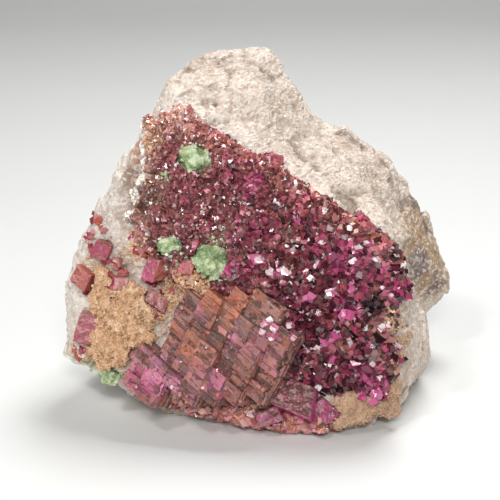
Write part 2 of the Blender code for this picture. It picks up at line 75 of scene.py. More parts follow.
# The flat break underneath is left as it is, up to this height
BREAK_HEIGHT = 0.4
ROCK_CREAM = (0.66, 0.56, 0.48)
ROCK_WHITE = (0.82, 0.77, 0.71)
ROCK_TAN = (0.46, 0.34, 0.26)
ROCK_BROWN = (0.22, 0.12, 0.08)
ROCK_GREY = (0.42, 0.36, 0.35)
OXIDE_BLACK = (0.025, 0.024, 0.028)
# Ridges and grooves of the flanks: their points, half width and height
FLANK_RIDGES = (
    (((-17.5, 3, 56), (-22.6, 1, 45.5), (-28.6, 0.5, 36.5), (-32.6, 0.5, 27.5)), 1.5, 0.8),
    (((-19, 1.5, 39), (-22.5, -0.5, 36.2), (-26, -0.6, 33.6)), 1.0, 0.6),
    (((-18.8, 0.5, 36.8), (-22, -1.5, 34.2), (-25, -1.8, 31.8)), 0.9, -0.9),
    (((31, 6, 30), (33, 9, 24), (34, 11, 17)), 1.6, -0.9),
    (((6, 12, 52.5), (12, 16, 50), (17, 18, 46)), 1.3, -0.5),
)
# The left side also has a faint bedding: the way across it, its step and its height
BEDDING = Vector((0.75, 0.35, -0.56))
BEDDING_STEP, BEDDING_HEIGHT = 1.7, 0.16
# Stains, and patches of painted shade under the front and on the left flank: colour, middle, reach and
# strength
ROCK_STAINS_AND_SHADE = (
    (ROCK_BROWN, (-20, 1, 46.5), 4.6, 0.85),
    (ROCK_BROWN, (-20.5, 0, 40.5), 4.4, 0.8),
    ((0.34, 0.15, 0.08), (-17.8, 2, 52), 4.2, 0.75),
    ((0.42, 0.25, 0.18), (-24, -2, 31), 6.0, 0.7),
    ((0.44, 0.22, 0.10), (-12, -6, 27), 5.5, 0.8),
    ((0.44, 0.30, 0.20), (-22, -8, 14), 9.0, 0.7),
    (ROCK_GREY, (-22.3, -2.5, 30.6), 2.8, 0.8),
    (ROCK_GREY, (-13.2, -7.5, 21.5), 4.2, 0.8),
    (ROCK_TAN, (24, -9, 6), 7.5, 0.8),
    (ROCK_TAN, (31.5, 6, 26), 6.5, 0.7),
    (ROCK_TAN, (28, -2, 12), 7.0, 0.4),
    ((0.38, 0.24, 0.13), (36, 21, 30), 9.0, 0.95),
    ((0.36, 0.24, 0.14), (38, 24, 22), 9.0, 1.0),
    ((0.20, 0.15, 0.16), (35, 20, 24.5), 4.6, 0.9),
    ((0.20, 0.15, 0.15), (38, 25, 19), 4.0, 0.8),
    # A greyer tone on the left flank, partly the rock's own grey and partly painted shade
    ((0.50, 0.42, 0.36), (-27, 1, 38), 13.0, 0.55),
    ((0.52, 0.44, 0.37), (-31, -3, 20), 9.0, 0.45),
    ((0.30, 0.21, 0.16), (33, 16, 20), 6.0, 0.7),
    ((0.34, 0.22, 0.14), (33, 14, 9), 5.0, 0.6),
    (ROCK_TAN, (-10, 30, 20), 14.0, 0.5),
    (ROCK_TAN, (18, 34, 30), 10.0, 0.45),
    ((0.52, 0.34, 0.19), (-27, -7, 12), 5.5, 0.7),
    # Dark brown under the front's overhang: painted shade
    ((0.16, 0.11, 0.09), (-20, -8, 5), 9.0, 0.85),
    ((0.16, 0.10, 0.08), (-4, -10, 1), 10.0, 0.9),
    ((0.22, 0.15, 0.11), (12, -12, 0), 7.0, 0.85),
    ((0.50, 0.27, 0.13), (-17, -6, 30), 5.0, 0.6),
    (OXIDE_BLACK, (-20.6, -10.6, 12.4), 1.9, 0.95),
    (OXIDE_BLACK, (-15.6, -8, 26), 0.8, 0.9),
    (OXIDE_BLACK, (-33.2, -1.5, 21.5), 1.0, 0.8),
)
# The band along the druse's upper edge, where the dolomite is clean and white
WHITE_EDGE = ((-12.8, 3, 59), (27.9, -8, 32.7))
WHITE_EDGE_REACH = 7.0
# The first of these is brown painted into the pits and grooves as shade, the second the rock's brown
# specks
PIT_SHADE_BROWN = (0.20, 0.14, 0.10)
SPECK_BROWN = (0.30, 0.22, 0.17)


class Shade:
    """A socket in a material's nodes. Sums on it add Math nodes."""

    def __init__(self, tree, socket):
        self.tree = tree
        self.socket = socket

    def node(self, kind, settings=None, values=None, output=0):
        """Any node: its settings come first, then the values or links of its sockets."""
        made = self.tree.nodes.new(kind)
        for name, value in (settings or {}).items():
            setattr(made, name, value)
        for name, value in (values or {}).items():
            if isinstance(value, Shade):
                self.tree.links.new(value.socket, made.inputs[name])
            else:
                made.inputs[name].default_value = value
        return Shade(self.tree, made.outputs[output])

    def math(self, operation, *values):
        return self.node("ShaderNodeMath", {"operation": operation}, dict(enumerate(values)))

    def __add__(self, other):
        return self.math("ADD", self, other)

    def __sub__(self, other):
        return self.math("SUBTRACT", self, other)

    def __rsub__(self, other):
        return self.math("SUBTRACT", other, self)

    def __mul__(self, other):
        return self.math("MULTIPLY", self, other)

    __radd__ = __add__
    __rmul__ = __mul__

    def vector(self, operation, *others, output=0):
        values = dict(enumerate((self, *others)))
        return self.node("ShaderNodeVectorMath", {"operation": operation}, values, output)

    def scaled(self, factor):
        return self.node("ShaderNodeVectorMath", {"operation": "SCALE"}, {0: self, "Scale": factor})

    def rises(self, low, high):
        """From 0 at low to 1 at high, with soft ends."""
        limits = {"Value": self, "From Min": low, "From Max": high}
        return self.node("ShaderNodeMapRange", {"interpolation_type": "SMOOTHSTEP"}, limits)

    def noise(self, size, detail=2.0, roughness=0.5, output=0):
        """Soft noise with lumps of this size, where the wrapped socket is a place."""
        values = {"Vector": self, "Scale": 1 / size, "Detail": detail, "Roughness": roughness}
        return self.node("ShaderNodeTexNoise", None, values, output)

    def cells(self, size, output=0):
        """Random cells of this size, where the wrapped socket is a place."""
        return self.node("ShaderNodeTexVoronoi", None, {"Vector": self, "Scale": 1 / size}, output)

    def attribute(self, name, output):
        """A value kept on the mesh, as a colour at output 0 and as a number at output 2."""
        return self.node("ShaderNodeAttribute", {"attribute_name": name}, None, output)

    def red(self):
        return self.node("ShaderNodeSeparateColor", None, {"Color": self})

    def near(self, centre, reach):
        """1 at a point and 0 beyond its reach, where the wrapped socket is a place."""
        return 1 - self.vector("DISTANCE", centre, output=1).rises(reach * 0.45, reach)

    def near_line(self, start, end, reach):
        """1 on a line and 0 beyond its reach, where the wrapped socket is a place."""
        along = (Vector(end) - Vector(start)).normalized()
        offset = self.vector("SUBTRACT", tuple(start))
        away = offset.vector("CROSS_PRODUCT", tuple(along)).vector("LENGTH", output=1)
        return 1 - away.rises(0, reach)

    def mix(self, low, high, blend="MIX"):
        """A colour between low and high, where the wrapped socket is the share of high."""
        settings = {"data_type": "RGBA", "blend_type": blend}
        low, high = ((*c, 1.0) if isinstance(c, tuple) else c for c in (low, high))
        return self.node("ShaderNodeMix", settings, {0: self, 6: low, 7: high}, 2)


def begin_material(name):
    """A new material with its shader and the place on the surface, in millimetres."""
    material = bpy.data.materials.new(name)
    material.use_nodes = True
    tree = material.node_tree
    shader = tree.nodes["Principled BSDF"]
    place = Shade(tree, tree.nodes.new("ShaderNodeTexCoord").outputs["Object"]).scaled(1 / MM)
    return material, shader, place


def finish_material(shader, colour, roughness, height, specular=0.5):
    """Links what varies over the surface: its colour, its roughness and its fine relief."""
    shader.inputs["Specular IOR Level"].default_value = specular
    links = height.tree.links
    links.new(colour.socket, shader.inputs["Base Color"])
    if isinstance(roughness, Shade):
        links.new(roughness.socket, shader.inputs["Roughness"])
    else:
        shader.inputs["Roughness"].default_value = roughness
    bumped = height.node("ShaderNodeBump", None, {"Height": height, "Distance": MM})
    links.new(bumped.socket, shader.inputs["Normal"])


def dolomite_material():
    material, shader, place = begin_material("sugary_dolomite")
    relief = place.attribute("relief", 2)
    warped = place.vector("ADD", place.noise(3.0, 3, output=1).scaled(3.2))
    clouds = place.noise(9.0, 4, 0.6)
    colour = clouds.rises(0.36, 0.62).mix(ROCK_TAN, ROCK_CREAM)
    colour = (clouds.rises(0.3, 0.5) * 0.5 + 0.3).mix(colour, ROCK_CREAM)
    left = place.node("ShaderNodeSeparateXYZ", None, {0: place})
    white = (1 - left.rises(-30, -17)) * 0.6 + warped.near_line(*WHITE_EDGE, WHITE_EDGE_REACH) * 0.7
    colour = white.math("MINIMUM", white, 1.0).mix(colour, ROCK_WHITE)
    # Stains, and painted shade under the front and on the left flank
    for patch_colour, middle, reach, strength in ROCK_STAINS_AND_SHADE:
        colour = (warped.near(middle, reach) * strength).mix(colour, patch_colour)
    grain = place.cells(0.55, output=1).red()
    colour = (grain.rises(0.45, 1.0) * 0.6).mix(colour, ROCK_WHITE)
    colour = ((1 - grain.rises(0.0, 0.3)) * 0.55).mix(colour, ROCK_TAN)
    specks = place.noise(0.9, 2, 0.6).rises(0.66, 0.74) * 0.45
    colour = specks.mix(colour, SPECK_BROWN)
    # Darker brown where the surface lies low, in pits and grooves: painted shade
    colour = ((1 - relief.rises(-0.75, -0.15)) * 0.75).mix(colour, PIT_SHADE_BROWN)
    roughness = 0.95 - grain.rises(0.8, 1.0) * 0.4
    height = place.noise(0.5, 5, 0.65) * 0.22 + place.cells(0.5) * 0.12
    finish_material(shader, colour, roughness, height, specular=0.35)
    return material


def place_piece(name, mesh):
    piece = bpy.data.objects.new(name, mesh)
    bpy.context.scene.collection.objects.link(piece)
    return piece


def dress(piece, material, slot):
    """Gives a piece its material; its slot is not used. It rides on the specimen's one body."""
    piece.data.materials.append(material)
    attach(piece, "root")


def melted_copy(node, name, voxel):
    """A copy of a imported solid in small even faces, so that its surface can be worked. It stands for
    the solid."""
    piece = place_piece(name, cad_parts[node].data.copy())
    piece.data.materials.clear()
    remesh = piece.modifiers.new("even_faces", "REMESH")
    remesh.mode = "VOXEL"
    remesh.voxel_size = voxel * MM
    graph = bpy.context.evaluated_depsgraph_get()
    mesh = bpy.data.meshes.new_from_object(piece.evaluated_get(graph), depsgraph=graph)
    piece.modifiers.clear()
    piece.data = mesh
    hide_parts(node)
    return piece


def work_surface(piece, relief_at, smooth=True):
    """Moves each point out by the relief there, and keeps the relief for the material."""
    mesh = piece.data
    normals = [vertex.normal.copy() for vertex in mesh.vertices]
    kept = mesh.attributes.new("relief", "FLOAT", "POINT")
    for vertex, normal, value in zip(mesh.vertices, normals, kept.data):
        relief = relief_at(vertex.co / MM, normal)
        vertex.co += normal * relief * MM
        value.value = relief
    if smooth:
        mesh.shade_smooth()
    else:
        mesh.shade_flat()


def lumps(point, size):
    return noise.fractal(point / size, 0.8, 2.1, 3)


def chips(point, size):
    """Relief of a broken face, whose flat chips of this size each tilt their own way."""
    sites = noise.voronoi(point / size)[1]
    tilt = noise.cell_vector(sites[0]) - Vector((0.5, 0.5, 0.5))
    return 2 * (point / size - sites[0]).dot(tilt)


def distance_to_line(point, corners):
    distances = []
    for start, end in zip(corners, corners[1:]):
        along = end - start
        share = min(1.0, max(0.0, (point - start).dot(along) / along.length_squared))
        distances.append((point - start - along * share).length)
    return min(distances)


def rock_relief(point, normal):
    if normal.z < -0.8 and point.z < BREAK_HEIGHT:
        return 0.0
    lump_size, lump_height = ROCK_LUMPS
    relief = sum(height * chips(point, size) for size, height in ROCK_CHIPS)
    relief += lump_height * lumps(point, lump_size)
    relief += sum(height * noise.noise(point / size) for size, height in ROCK_GRAIN)
    if noise.noise(point / SWARM_SIZE + Vector((4, 1, 9))) > 0.05:
        pit = noise.voronoi(point / PIT_SPACING)[0][0]
        relief -= PIT_DEPTH * max(0.0, 1 - pit / PIT_REACH)
    if normal.x < -0.25:
        across = point.dot(BEDDING) / BEDDING_STEP + 0.8 * noise.noise(point / 5)
        relief += BEDDING_HEIGHT * math.sin(across * math.tau) * min(1.0, -normal.x * 1.6)
    for corners, half_width, height in flank_ridges:
        away = distance_to_line(point, corners) / half_width
        if away < 1.0:
            relief += height * (1 - away * away) ** 2
    return relief


flank_ridges = [([Vector(p) for p in corners], wide, high) for corners, wide, high in FLANK_RIDGES]
rock = melted_copy("matrix_rock", "dolomite_block", ROCK_VOXEL)
work_surface(rock, rock_relief, smooth=False)
for vertex in rock.data.vertices:
    vertex.co.z = max(vertex.co.z, 0.0)
dress(rock, dolomite_material(), "dolomite")

# The druse is a crust of calcite rhombs tinted by cobalt, wine red and as fine as sugar at its top left
# and magenta and coarser to the right. They grew crowded together, with their tips out of the rock.
EDGE_TILT = math.radians(63.7)
CALCITE_IOR = 1.6
WINE = (0.085, 0.010, 0.018)
GARNET = (0.22, 0.032, 0.042)
MAGENTA = (0.42, 0.035, 0.17)
ROSE = (0.56, 0.22, 0.28)
RUST = (0.35, 0.12, 0.08)
UMBER = (0.20, 0.095, 0.06)
ASHEN = (0.47, 0.30, 0.27)
# Frosted white, partly painted glint
FROST_AND_GLINT = (0.78, 0.66, 0.67)
DUSTY = (0.26, 0.21, 0.20)
# Near-black: dark seams and specks, and painted shade on the floor between the druse's crystals
DARK_SEAM_AND_SHADE = (0.05, 0.025, 0.03)
HOT_PINK = (0.50, 0.055, 0.22)
RIM_WHITE = (0.66, 0.59, 0.53)
# Patches of the druse: colour, middle, reach and strength
DRUSE_PATCHES = (
    ((0.29, 0.17, 0.12), (-20.5, 0, 42.5), 6.0, 1.0),
    ((0.14, 0.08, 0.055), (-18.0, -1, 42), 5.2, 0.95),
    ((0.46, 0.27, 0.16), (-20, 2, 52.5), 6.0, 1.0),
    ((0.36, 0.22, 0.16), (-20, 0, 47.5), 4.6, 1.0),
    ((0.40, 0.25, 0.19), (-19.5, -2, 35.5), 4.0, 0.9),
    ((0.60, 0.38, 0.30), (-13, 3, 55.5), 5.5, 0.75),
    ((0.56, 0.33, 0.19), (-10.5, -6, 27.2), 4.6, 0.9),
    ((0.38, 0.22, 0.16), (-6, -5, 33.5), 3.5, 0.5),
    (UMBER, (-17.5, -2, 36.5), 3.5, 0.7),
    (ASHEN, (-14, 0, 42), 1.8, 0.8),
    ((0.24, 0.24, 0.12), (-14.7, 0, 46.6), 1.6, 0.7),
    ((0.26, 0.26, 0.13), (-6, -4, 36), 3.4, 0.5),
    (HOT_PINK, (1.3, -4, 45.6), 3.0, 0.6),
    (HOT_PINK, (19, -9, 33), 5.0, 0.35),
    (HOT_PINK, (17, -11, 24), 4.0, 0.5),
    (HOT_PINK, (21, -11, 10.5), 4.5, 0.55),
    (ROSE, (23, -9, 33), 4.5, 0.3),
    (WINE, (12, -11, 24.4), 6.0, 0.75),
    (WINE, (10, -11, 20), 7.0, 0.75),
    (WINE, (12, -8, 29), 5.0, 0.5),
    (UMBER, (18, -10, 20), 5.0, 0.4),
    ((0.52, 0.34, 0.21), (25, -10, 21), 4.0, 0.95),
    ((0.50, 0.33, 0.22), (26, -10, 14), 3.4, 0.9),
    (OXIDE_BLACK, (22, -10, 23.6), 3.4, 0.98),
    (OXIDE_BLACK, (8.5, -12, 14.5), 2.2, 0.8),
)
# The druse's left edge is bleached white along this line, by X and Z, out to its reach
BLEACHED_LINE = (Vector((-21.4, 57)), Vector((-20.9, 47)), Vector((-23.8, 39.5)))
BLEACHED_REACH = 2.3
# Rust follows the upper edge: a point on it by X and Z, its fall to the right and the band's width
RUSTY_EDGE = (-6, 54.2)
RUSTY_FALL, RUSTY_WIDTH = 0.62, 4.5
# Crystals above these draws are painted pale, as glints, and above these frosted white, as brighter
# glints
PALE_GLINT_DRAW, FROSTED_GLINT_DRAW = 0.86, 0.965
# Lengths of the crystals at the druse's top left and lower right, and the spacing as a share of them
FINE_CRYSTAL, COARSE_CRYSTAL = 0.36, 1.06
CRYSTAL_SPACING = 0.68
DRUSE_TRIES = 170000
DRUSE_TOP_LEFT = (-20, 56)
DRUSE_SPAN = (48, 50)
# A place on a solid is open when nothing else stands within these reaches of it, out of the solid and
# towards the front
OPEN_REACH = 1.2
FRONT = (0, -1, 0)
FRONT_REACH = 6.0
FRINGE_REACH = 1.1
# The rock's proud rim beside the druse's upper left, from this X and Z, is bare
BARE_RIM = (-17, 34)


def rhomb_axes():
    """The three edges of a calcite rhomb about its upright three-fold axis, as rows."""
    turns = [math.tau * k / 3 for k in range(3)]
    lean, rise = math.sin(EDGE_TILT), math.cos(EDGE_TILT)
    return np.array([(lean * math.cos(turn), lean * math.sin(turn), rise) for turn in turns])


def piece_of(name, points, faces):
    """A new piece from its points, in millimetres, and its faces."""
    mesh = bpy.data.meshes.new(name)
    mesh.from_pydata((points * MM).tolist(), [], faces.tolist())
    return place_piece(name, mesh)


def joined_rhombs(name, centres, edges, colours, wear=0.02):
    """One mesh of many rhombs: their middles, their three whole edges each, and their colours, one for
    each rhomb or one for each corner. Wear moves each corner a little, as a share of the rhomb's size."""
    signs = np.array([(x, y, z) for x in (-1, 1) for y in (-1, 1) for z in (-1, 1)]) / 2
    quads = np.array(((0, 1, 3, 2), (4, 6, 7, 5), (0, 4, 5, 1), (2, 3, 7, 6), (0, 2, 6, 4), (1, 5, 7, 3)))
    centres, edges = np.array(centres), np.array(edges)
    left_handed = np.linalg.det(edges) < 0
    edges[left_handed, 0] *= -1
    corners = centres[:, None, :] + np.einsum("ck,nkx->ncx", signs, edges)
    sizes = np.linalg.norm(edges, axis=2).mean(axis=1)
    corners += np.random.default_rng(3).normal(0, wear, corners.shape) * sizes[:, None, None]
    corners[..., 2] = np.maximum(corners[..., 2], 0)
    faces = quads[None] + len(signs) * np.arange(len(centres))[:, None, None]
    piece = piece_of(name, corners.reshape(-1, 3), faces.reshape(-1, 4))
    tint = piece.data.attributes.new("tint", "FLOAT_COLOR", "POINT")
    colours = np.array(colours)
    if colours.ndim == 2:
        colours = np.repeat(colours[:, None], len(signs), axis=1)
    rgba = np.concatenate([colours, np.ones((*colours.shape[:2], 1))], axis=2)
    tint.data.foreach_set("color", rgba.ravel().astype(np.float32))
    return piece


def tree_of(*nodes):
    """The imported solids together, for finding where a line meets them."""
    builder = bmesh.new()
    for node in nodes:
        builder.from_mesh(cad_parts[node].data)
    tree = BVHTree.FromBMesh(builder)
    builder.free()
    return tree


def surface_of(node, worked=None):
    """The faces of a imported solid, or of its worked copy: their corners, normals and areas, and a tree
    of the other solids."""
    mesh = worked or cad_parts[node].data
    points = [tuple(vertex.co / MM) for vertex in mesh.vertices]
    corners = np.array([[points[v] for v in face.vertices[:3]] for face in mesh.polygons])
    normals = np.array([tuple(face.normal) for face in mesh.polygons])
    areas = np.array([face.area for face in mesh.polygons])
    return corners, normals, areas, tree_of(*(other for other in sorted(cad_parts) if other != node))


def spread_points(surface, tries, spacing_at, chance):
    """Points spread over a surface where it is open, no nearer to each other than the spacing there."""
    corners, normals, areas, neighbours = surface
    chosen = chance.choice(len(areas), tries, p=areas / areas.sum())
    u, v = chance.random(tries), chance.random(tries)
    u, v = np.where(u + v > 1, 1 - u, u), np.where(u + v > 1, 1 - v, v)
    a, b, c = (corners[chosen, k] for k in range(3))
    points = a + u[:, None] * (b - a) + v[:, None] * (c - a)
    taken, kept = {}, []
    for place, normal in zip(points, normals[chosen]):
        spacing = spacing_at(place)
        home = tuple(int(math.floor(x)) for x in place)
        reach = range(-int(math.ceil(spacing)), int(math.ceil(spacing)) + 1)
        near = (other for i in reach for j in reach for k in reach
                for other in taken.get((home[0] + i, home[1] + j, home[2] + k), ()))
        if any(np.dot(place - other, place - other) < spacing * spacing for other in near):
            continue
        ways = ((normal, OPEN_REACH), (FRONT, FRONT_REACH))
        start = Vector(place) * MM
        if all(neighbours.ray_cast(start, Vector(way), far * MM)[0] is None for way, far in ways):
            taken.setdefault(home, []).append(place)
            kept.append((place, normal))
    return kept


def blend(low, high, share):
    return np.array(low) * (1 - share) + np.array(high) * share


def along_druse(place):
    """0 at the druse's top left and 1 at its lower right."""
    right = (place[0] - DRUSE_TOP_LEFT[0]) / DRUSE_SPAN[0]
    down = (DRUSE_TOP_LEFT[1] - place[2]) / DRUSE_SPAN[1]
    return min(1.0, max(0.0, 0.62 * right + 0.38 * down))


def crystal_size(place):
    return FINE_CRYSTAL + (COARSE_CRYSTAL - FINE_CRYSTAL) * along_druse(place) ** 1.3


def patched_colour(place, patches, base):
    """The base colour, with patches over it whose edges are ragged."""
    spot = Vector(place)
    spot += 1.6 * noise.noise_vector(spot / 1.7)
    colour = np.array(base)
    for patch, middle, reach, strength in patches:
        near = max(0.0, 1 - (spot - Vector(middle)).length / reach)
        if near > 0:
            colour = blend(colour, patch, min(1.0, near * 2.2) * strength)
    return colour


def crystal_colour(place, chance):
    """Wine and garnet with magenta patches, rusty at the druse's upper edge, and a few pale and frosted
    white ones, painted as glints.
    """
    spot = Vector(place)
    share = along_druse(place)
    magenta = min(1.0, max(0.0, 0.1 + 0.9 * share + 0.9 * noise.noise(spot / 6)))
    colour = blend(GARNET, MAGENTA, magenta * chance.uniform(0.3, 1.0))
    colour = blend(colour, WINE, chance.random() * 0.9)
    colour = blend(colour, UMBER, max(0.0, 0.4 + 0.9 * noise.noise(spot / 4)) * chance.random())
    edge_height = RUSTY_EDGE[1] - RUSTY_FALL * (place[0] - RUSTY_EDGE[0])
    edge = max(0.0, 1 - abs(place[2] - edge_height) / RUSTY_WIDTH)
    rust = min(1.0, 1.3 * edge + max(0.0, 0.4 - share) * 0.7) * chance.random()
    colour = blend(colour, RUST, rust)
    colour = blend(colour, DUSTY, 0.14 * (1 - share))
    # Pale and frosted white crystals are painted glints
    pale = chance.random()
    if pale > PALE_GLINT_DRAW:
        colour = blend(colour, (ASHEN, ROSE)[chance.integers(2)], chance.uniform(0.3, 0.8))
    colour = blend(colour, patched_colour(place, DRUSE_PATCHES, colour), chance.uniform(0.65, 1.0))
    if pale > FROSTED_GLINT_DRAW:
        colour = blend(colour, FROST_AND_GLINT, 0.8)
    beyond = BLEACHED_REACH - distance_to_line(Vector((place[0], place[2])), BLEACHED_LINE)
    bleached = min(1.0, max(0.0, 1.2 * beyond + 0.8 * noise.noise(spot / 1.2)))
    colour = blend(colour, RIM_WHITE, bleached * 0.95)
    shade = chance.uniform(0.4 - 0.26 * share, 1.55) ** (1 + 0.8 * share)
    return colour * shade * (1.38 - 0.6 * share)


def random_rhomb(normal, size, spread, chance):
    """The edges of a rhomb whose three-fold axis leans from the normal by about the spread."""
    lean = (Vector(normal) + spread * Vector(chance.normal(size=3))).normalized()
    about_axis = Matrix.Rotation(chance.uniform(0, math.tau), 3, "Z")
    turn = lean.to_track_quat("Z", "Y").to_matrix() @ about_axis
    return rhomb_axes() @ np.array(turn).T * (size * chance.uniform(0.6, 1.5, 3))[:, None]


def let_light_in(shader, share, colour, depth):
    """Lets this share of the light scatter in the crystal, down to this depth, by its colour."""
    shader.inputs["Subsurface Weight"].default_value = share
    shader.inputs["Subsurface Radius"].default_value = colour
    shader.inputs["Subsurface Scale"].default_value = depth * MM


def calcite_material(name, clarity, weathering):
    """Glassy crystal tinted by its own attribute, with clean, frosted or weathered faces."""
    material, shader, place = begin_material(name)
    tint = place.attribute("tint", 0)
    clouds = place.noise(0.8, 3)
    colour = (clouds.rises(0.35, 0.75) * 0.35).mix(tint, ROSE, "SOFT_LIGHT")
    worn = place.noise(0.55, 4, 0.7)
    colour = (worn.rises(0.5, 0.66) * weathering).mix(colour, DARK_SEAM_AND_SHADE)
    colour = ((1 - worn.rises(0.3, 0.42)) * weathering).mix(colour, ROSE)
    roughness = 0.10 + clouds.rises(0.4, 0.8) * 0.25 + worn * 0.4 * weathering
    height = place.noise(0.25, 3, 0.6) * (0.012 + 0.16 * weathering)
    finish_material(shader, colour, roughness, height)
    shader.inputs["IOR"].default_value = CALCITE_IOR
    let_light_in(shader, clarity, (1.0, 0.25, 0.45), 0.6)
    return material


def grow_crystals(surface, tries, size_at, colour_at, chance, sink=0.1, spread=0.45):
    """Crystals crowded over a surface, each sunk a little in it: middles, edges and colours."""
    found = []
    for place, normal in spread_points(surface, tries, lambda p: CRYSTAL_SPACING * size_at(p), chance):
        size = size_at(place) * chance.uniform(0.7, 1.35)
        centre = place + np.array(normal) * size * (0.25 - sink - chance.uniform(0, 0.25))
        edges = random_rhomb(normal, size, spread, chance)
        found.append((centre, edges, colour_at(place, chance)))
    return [list(column) for column in zip(*found)]


def fringe_crystals(rock_mesh, crust_tree, reach, size_at, colour_at, chance):
    """Crystals thinning out over the rock beside a crust: middles, edges and colours."""
    found = []
    for face in rock_mesh.polygons:
        near = crust_tree.find_nearest(face.center, reach * MM)[3]
        place = np.array(face.center) / MM
        bare = place[0] < BARE_RIM[0] and place[2] > BARE_RIM[1]
        if near is None or bare or face.normal.y > 0.35:
            continue
        if chance.random() > near / MM / reach + 0.15:
            size = size_at(place) * chance.uniform(0.5, 1.1)
            edges = random_rhomb(face.normal, size, 0.6, chance)
            found.append((place + np.array(face.normal) * size * 0.15, edges, colour_at(place, chance)))
    return [list(column) for column in zip(*found)]


def crust_crystals(node, tries, reach, size_at, colour_at, chance):
    """The crystals on a crust, and those that thin out beside it: middles, edges and colours."""
    crowded = grow_crystals(surface_of(node), tries, size_at, colour_at, chance)
    beside = fringe_crystals(rock.data, tree_of(node), reach, size_at, colour_at, chance)
    return [own + more for own, more in zip(crowded, beside)]


calcite = calcite_material("cobalt_calcite", 0.2, 0.1)
druse_parts = (DRUSE_TRIES, FRINGE_REACH, crystal_size, crystal_colour, np.random.default_rng(11))
crystals = crust_crystals("calcite_druse", *druse_parts)
# The druse is kept in two pieces, the finer three fifths of its crystals and the coarser rest
by_size = sorted(range(len(crystals[0])), key=lambda k: along_druse(crystals[0][k]))
first_coarse = len(by_size) * 3 // 5
halves = (by_size[:first_coarse], by_size[first_coarse:])
for name, chosen in zip(("druse_fine", "druse_coarse"), halves):
    druse = joined_rhombs(name, *([column[k] for k in chosen] for column in crystals))
    dress(druse, calcite, "rose_calcite")


def crust_material():
    """The floor between the crystals, wine red with near-black patches of painted shade, bleached at the
    upper left as they are.
    """
    material, shader, place = begin_material("crust_floor")
    # Near-black patches over the wine red are painted shade between the crystals
    colour = place.noise(1.2, 3).rises(0.35, 0.65).mix(DARK_SEAM_AND_SHADE, WINE)
    left, up = (place.node("ShaderNodeSeparateXYZ", None, {0: place}, k) for k in (0, 2))
    bleached = (1 - left.rises(-20, -18.6)) * up.rises(44, 47)
    colour = bleached.mix(colour, RIM_WHITE)
    finish_material(shader, colour, 0.5, place.cells(0.4) * 0.15)
    return material


CRUST_NODES = ("calcite_druse", "calcite_foot_crust")
crust = crust_material()
for node in CRUST_NODES:
    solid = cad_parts[node]
    solid.data.materials.clear()
    solid.data.materials.append(crust)

# At the foot of the druse the same calcite makes a ragged lower rim, a thin crust of small crystals
# grown onto the dolomite and stained a reddish beige.
RIM_COLOURS = (UMBER, RUST, ASHEN, ROSE, (0.54, 0.24, 0.19), (0.56, 0.36, 0.28))
RIM_SIZE = 0.75
RIM_REACH = 4.5
RIM_TRIES = 20000


def rim_size(place):
    return RIM_SIZE + 0.25 * noise.noise(Vector(place) / 3)


def rim_colour(place, chance):
    colour = blend(RIM_COLOURS[chance.integers(len(RIM_COLOURS))], RUST, 0.2)
    return colour * chance.uniform(0.85, 1.7)


rim_parts = (RIM_TRIES, RIM_REACH, rim_size, rim_colour, np.random.default_rng(17))
rim_piece = joined_rhombs("foot_crust_crystals", *crust_crystals("calcite_foot_crust", *rim_parts))
dress(rim_piece, calcite, "rose_calcite")

# The largest crystal is one rhomb, cleaved and etched into rows of narrow steps. Iron has stained its
# steps brown and orange, and the cobalt pink shows where they are chipped or where the light gets in.
STEPPED_NORMAL = (-0.14, -0.90, 0.40)
STEPPED_EDGE = (0.76, 0, -0.64)
STEPPED_CENTRE = np.array((-7.5, -14.2, 16.5))
STEPPED_REACH = 26
# The crystal's blocks, as long and as wide as this, and how many strips each is etched into
BLOCK_LENGTH, BLOCK_WIDTH = 3.6, 2.7
SIDE_WIDTH = 1.8
STRIPS_IN_BLOCK = (3, 6)
STRIP_DEPTH = 1.1
# A strip's length as a share of its block's, and how far it may be shifted along it
STRIP_LENGTHS, STRIP_SHIFT = (0.8, 1.04), 0.2
# How far a strip stands out on the whole, what its block adds, how much the strips of a block fall from
# one side to the other, their roughness, and the share of them that has broken away
STRIP_LIFT = 0.12
BLOCK_LIFTS = (-0.12, 0.2)
ROOF_TILT = 0.62
STRIP_ROUGHNESS = 0.08
LOST_STRIPS = 0.04
# Sides to lay with strips: which edges run along, beside and into each, which way, and its blocks' size
STEPPED_SIDES = (
    ((0, 1, 2), (1, 1, 1), BLOCK_LENGTH, BLOCK_WIDTH),
    ((0, 2, 1), (1, 1, 1), BLOCK_LENGTH, SIDE_WIDTH),
    ((0, 2, 1), (1, 1, -1), BLOCK_LENGTH, SIDE_WIDTH),
    ((1, 2, 0), (1, 1, 1), BLOCK_WIDTH, SIDE_WIDTH),
    ((1, 2, 0), (1, 1, -1), BLOCK_WIDTH, SIDE_WIDTH),
)
STAIN_BROWN = (0.27, 0.105, 0.075)
STAIN_ORANGE = (0.54, 0.17, 0.085)
STAIN_GREY = (0.21, 0.14, 0.125)
DUSTY_ROSE = (0.43, 0.16, 0.19)
ORCHID = (0.60, 0.20, 0.35)
CORE_VOXEL = 0.3
# The core shows in the gaps between the strips; this darkens it there as painted shade
CORE_SHADE = 0.35
CHIP_TRIES = 700
# The steps are streaked along their length: the turn of that direction about Y, and how far
STREAK_TURN = math.atan2(-STEPPED_EDGE[2], STEPPED_EDGE[0])
STREAK_STRETCH = 3.5
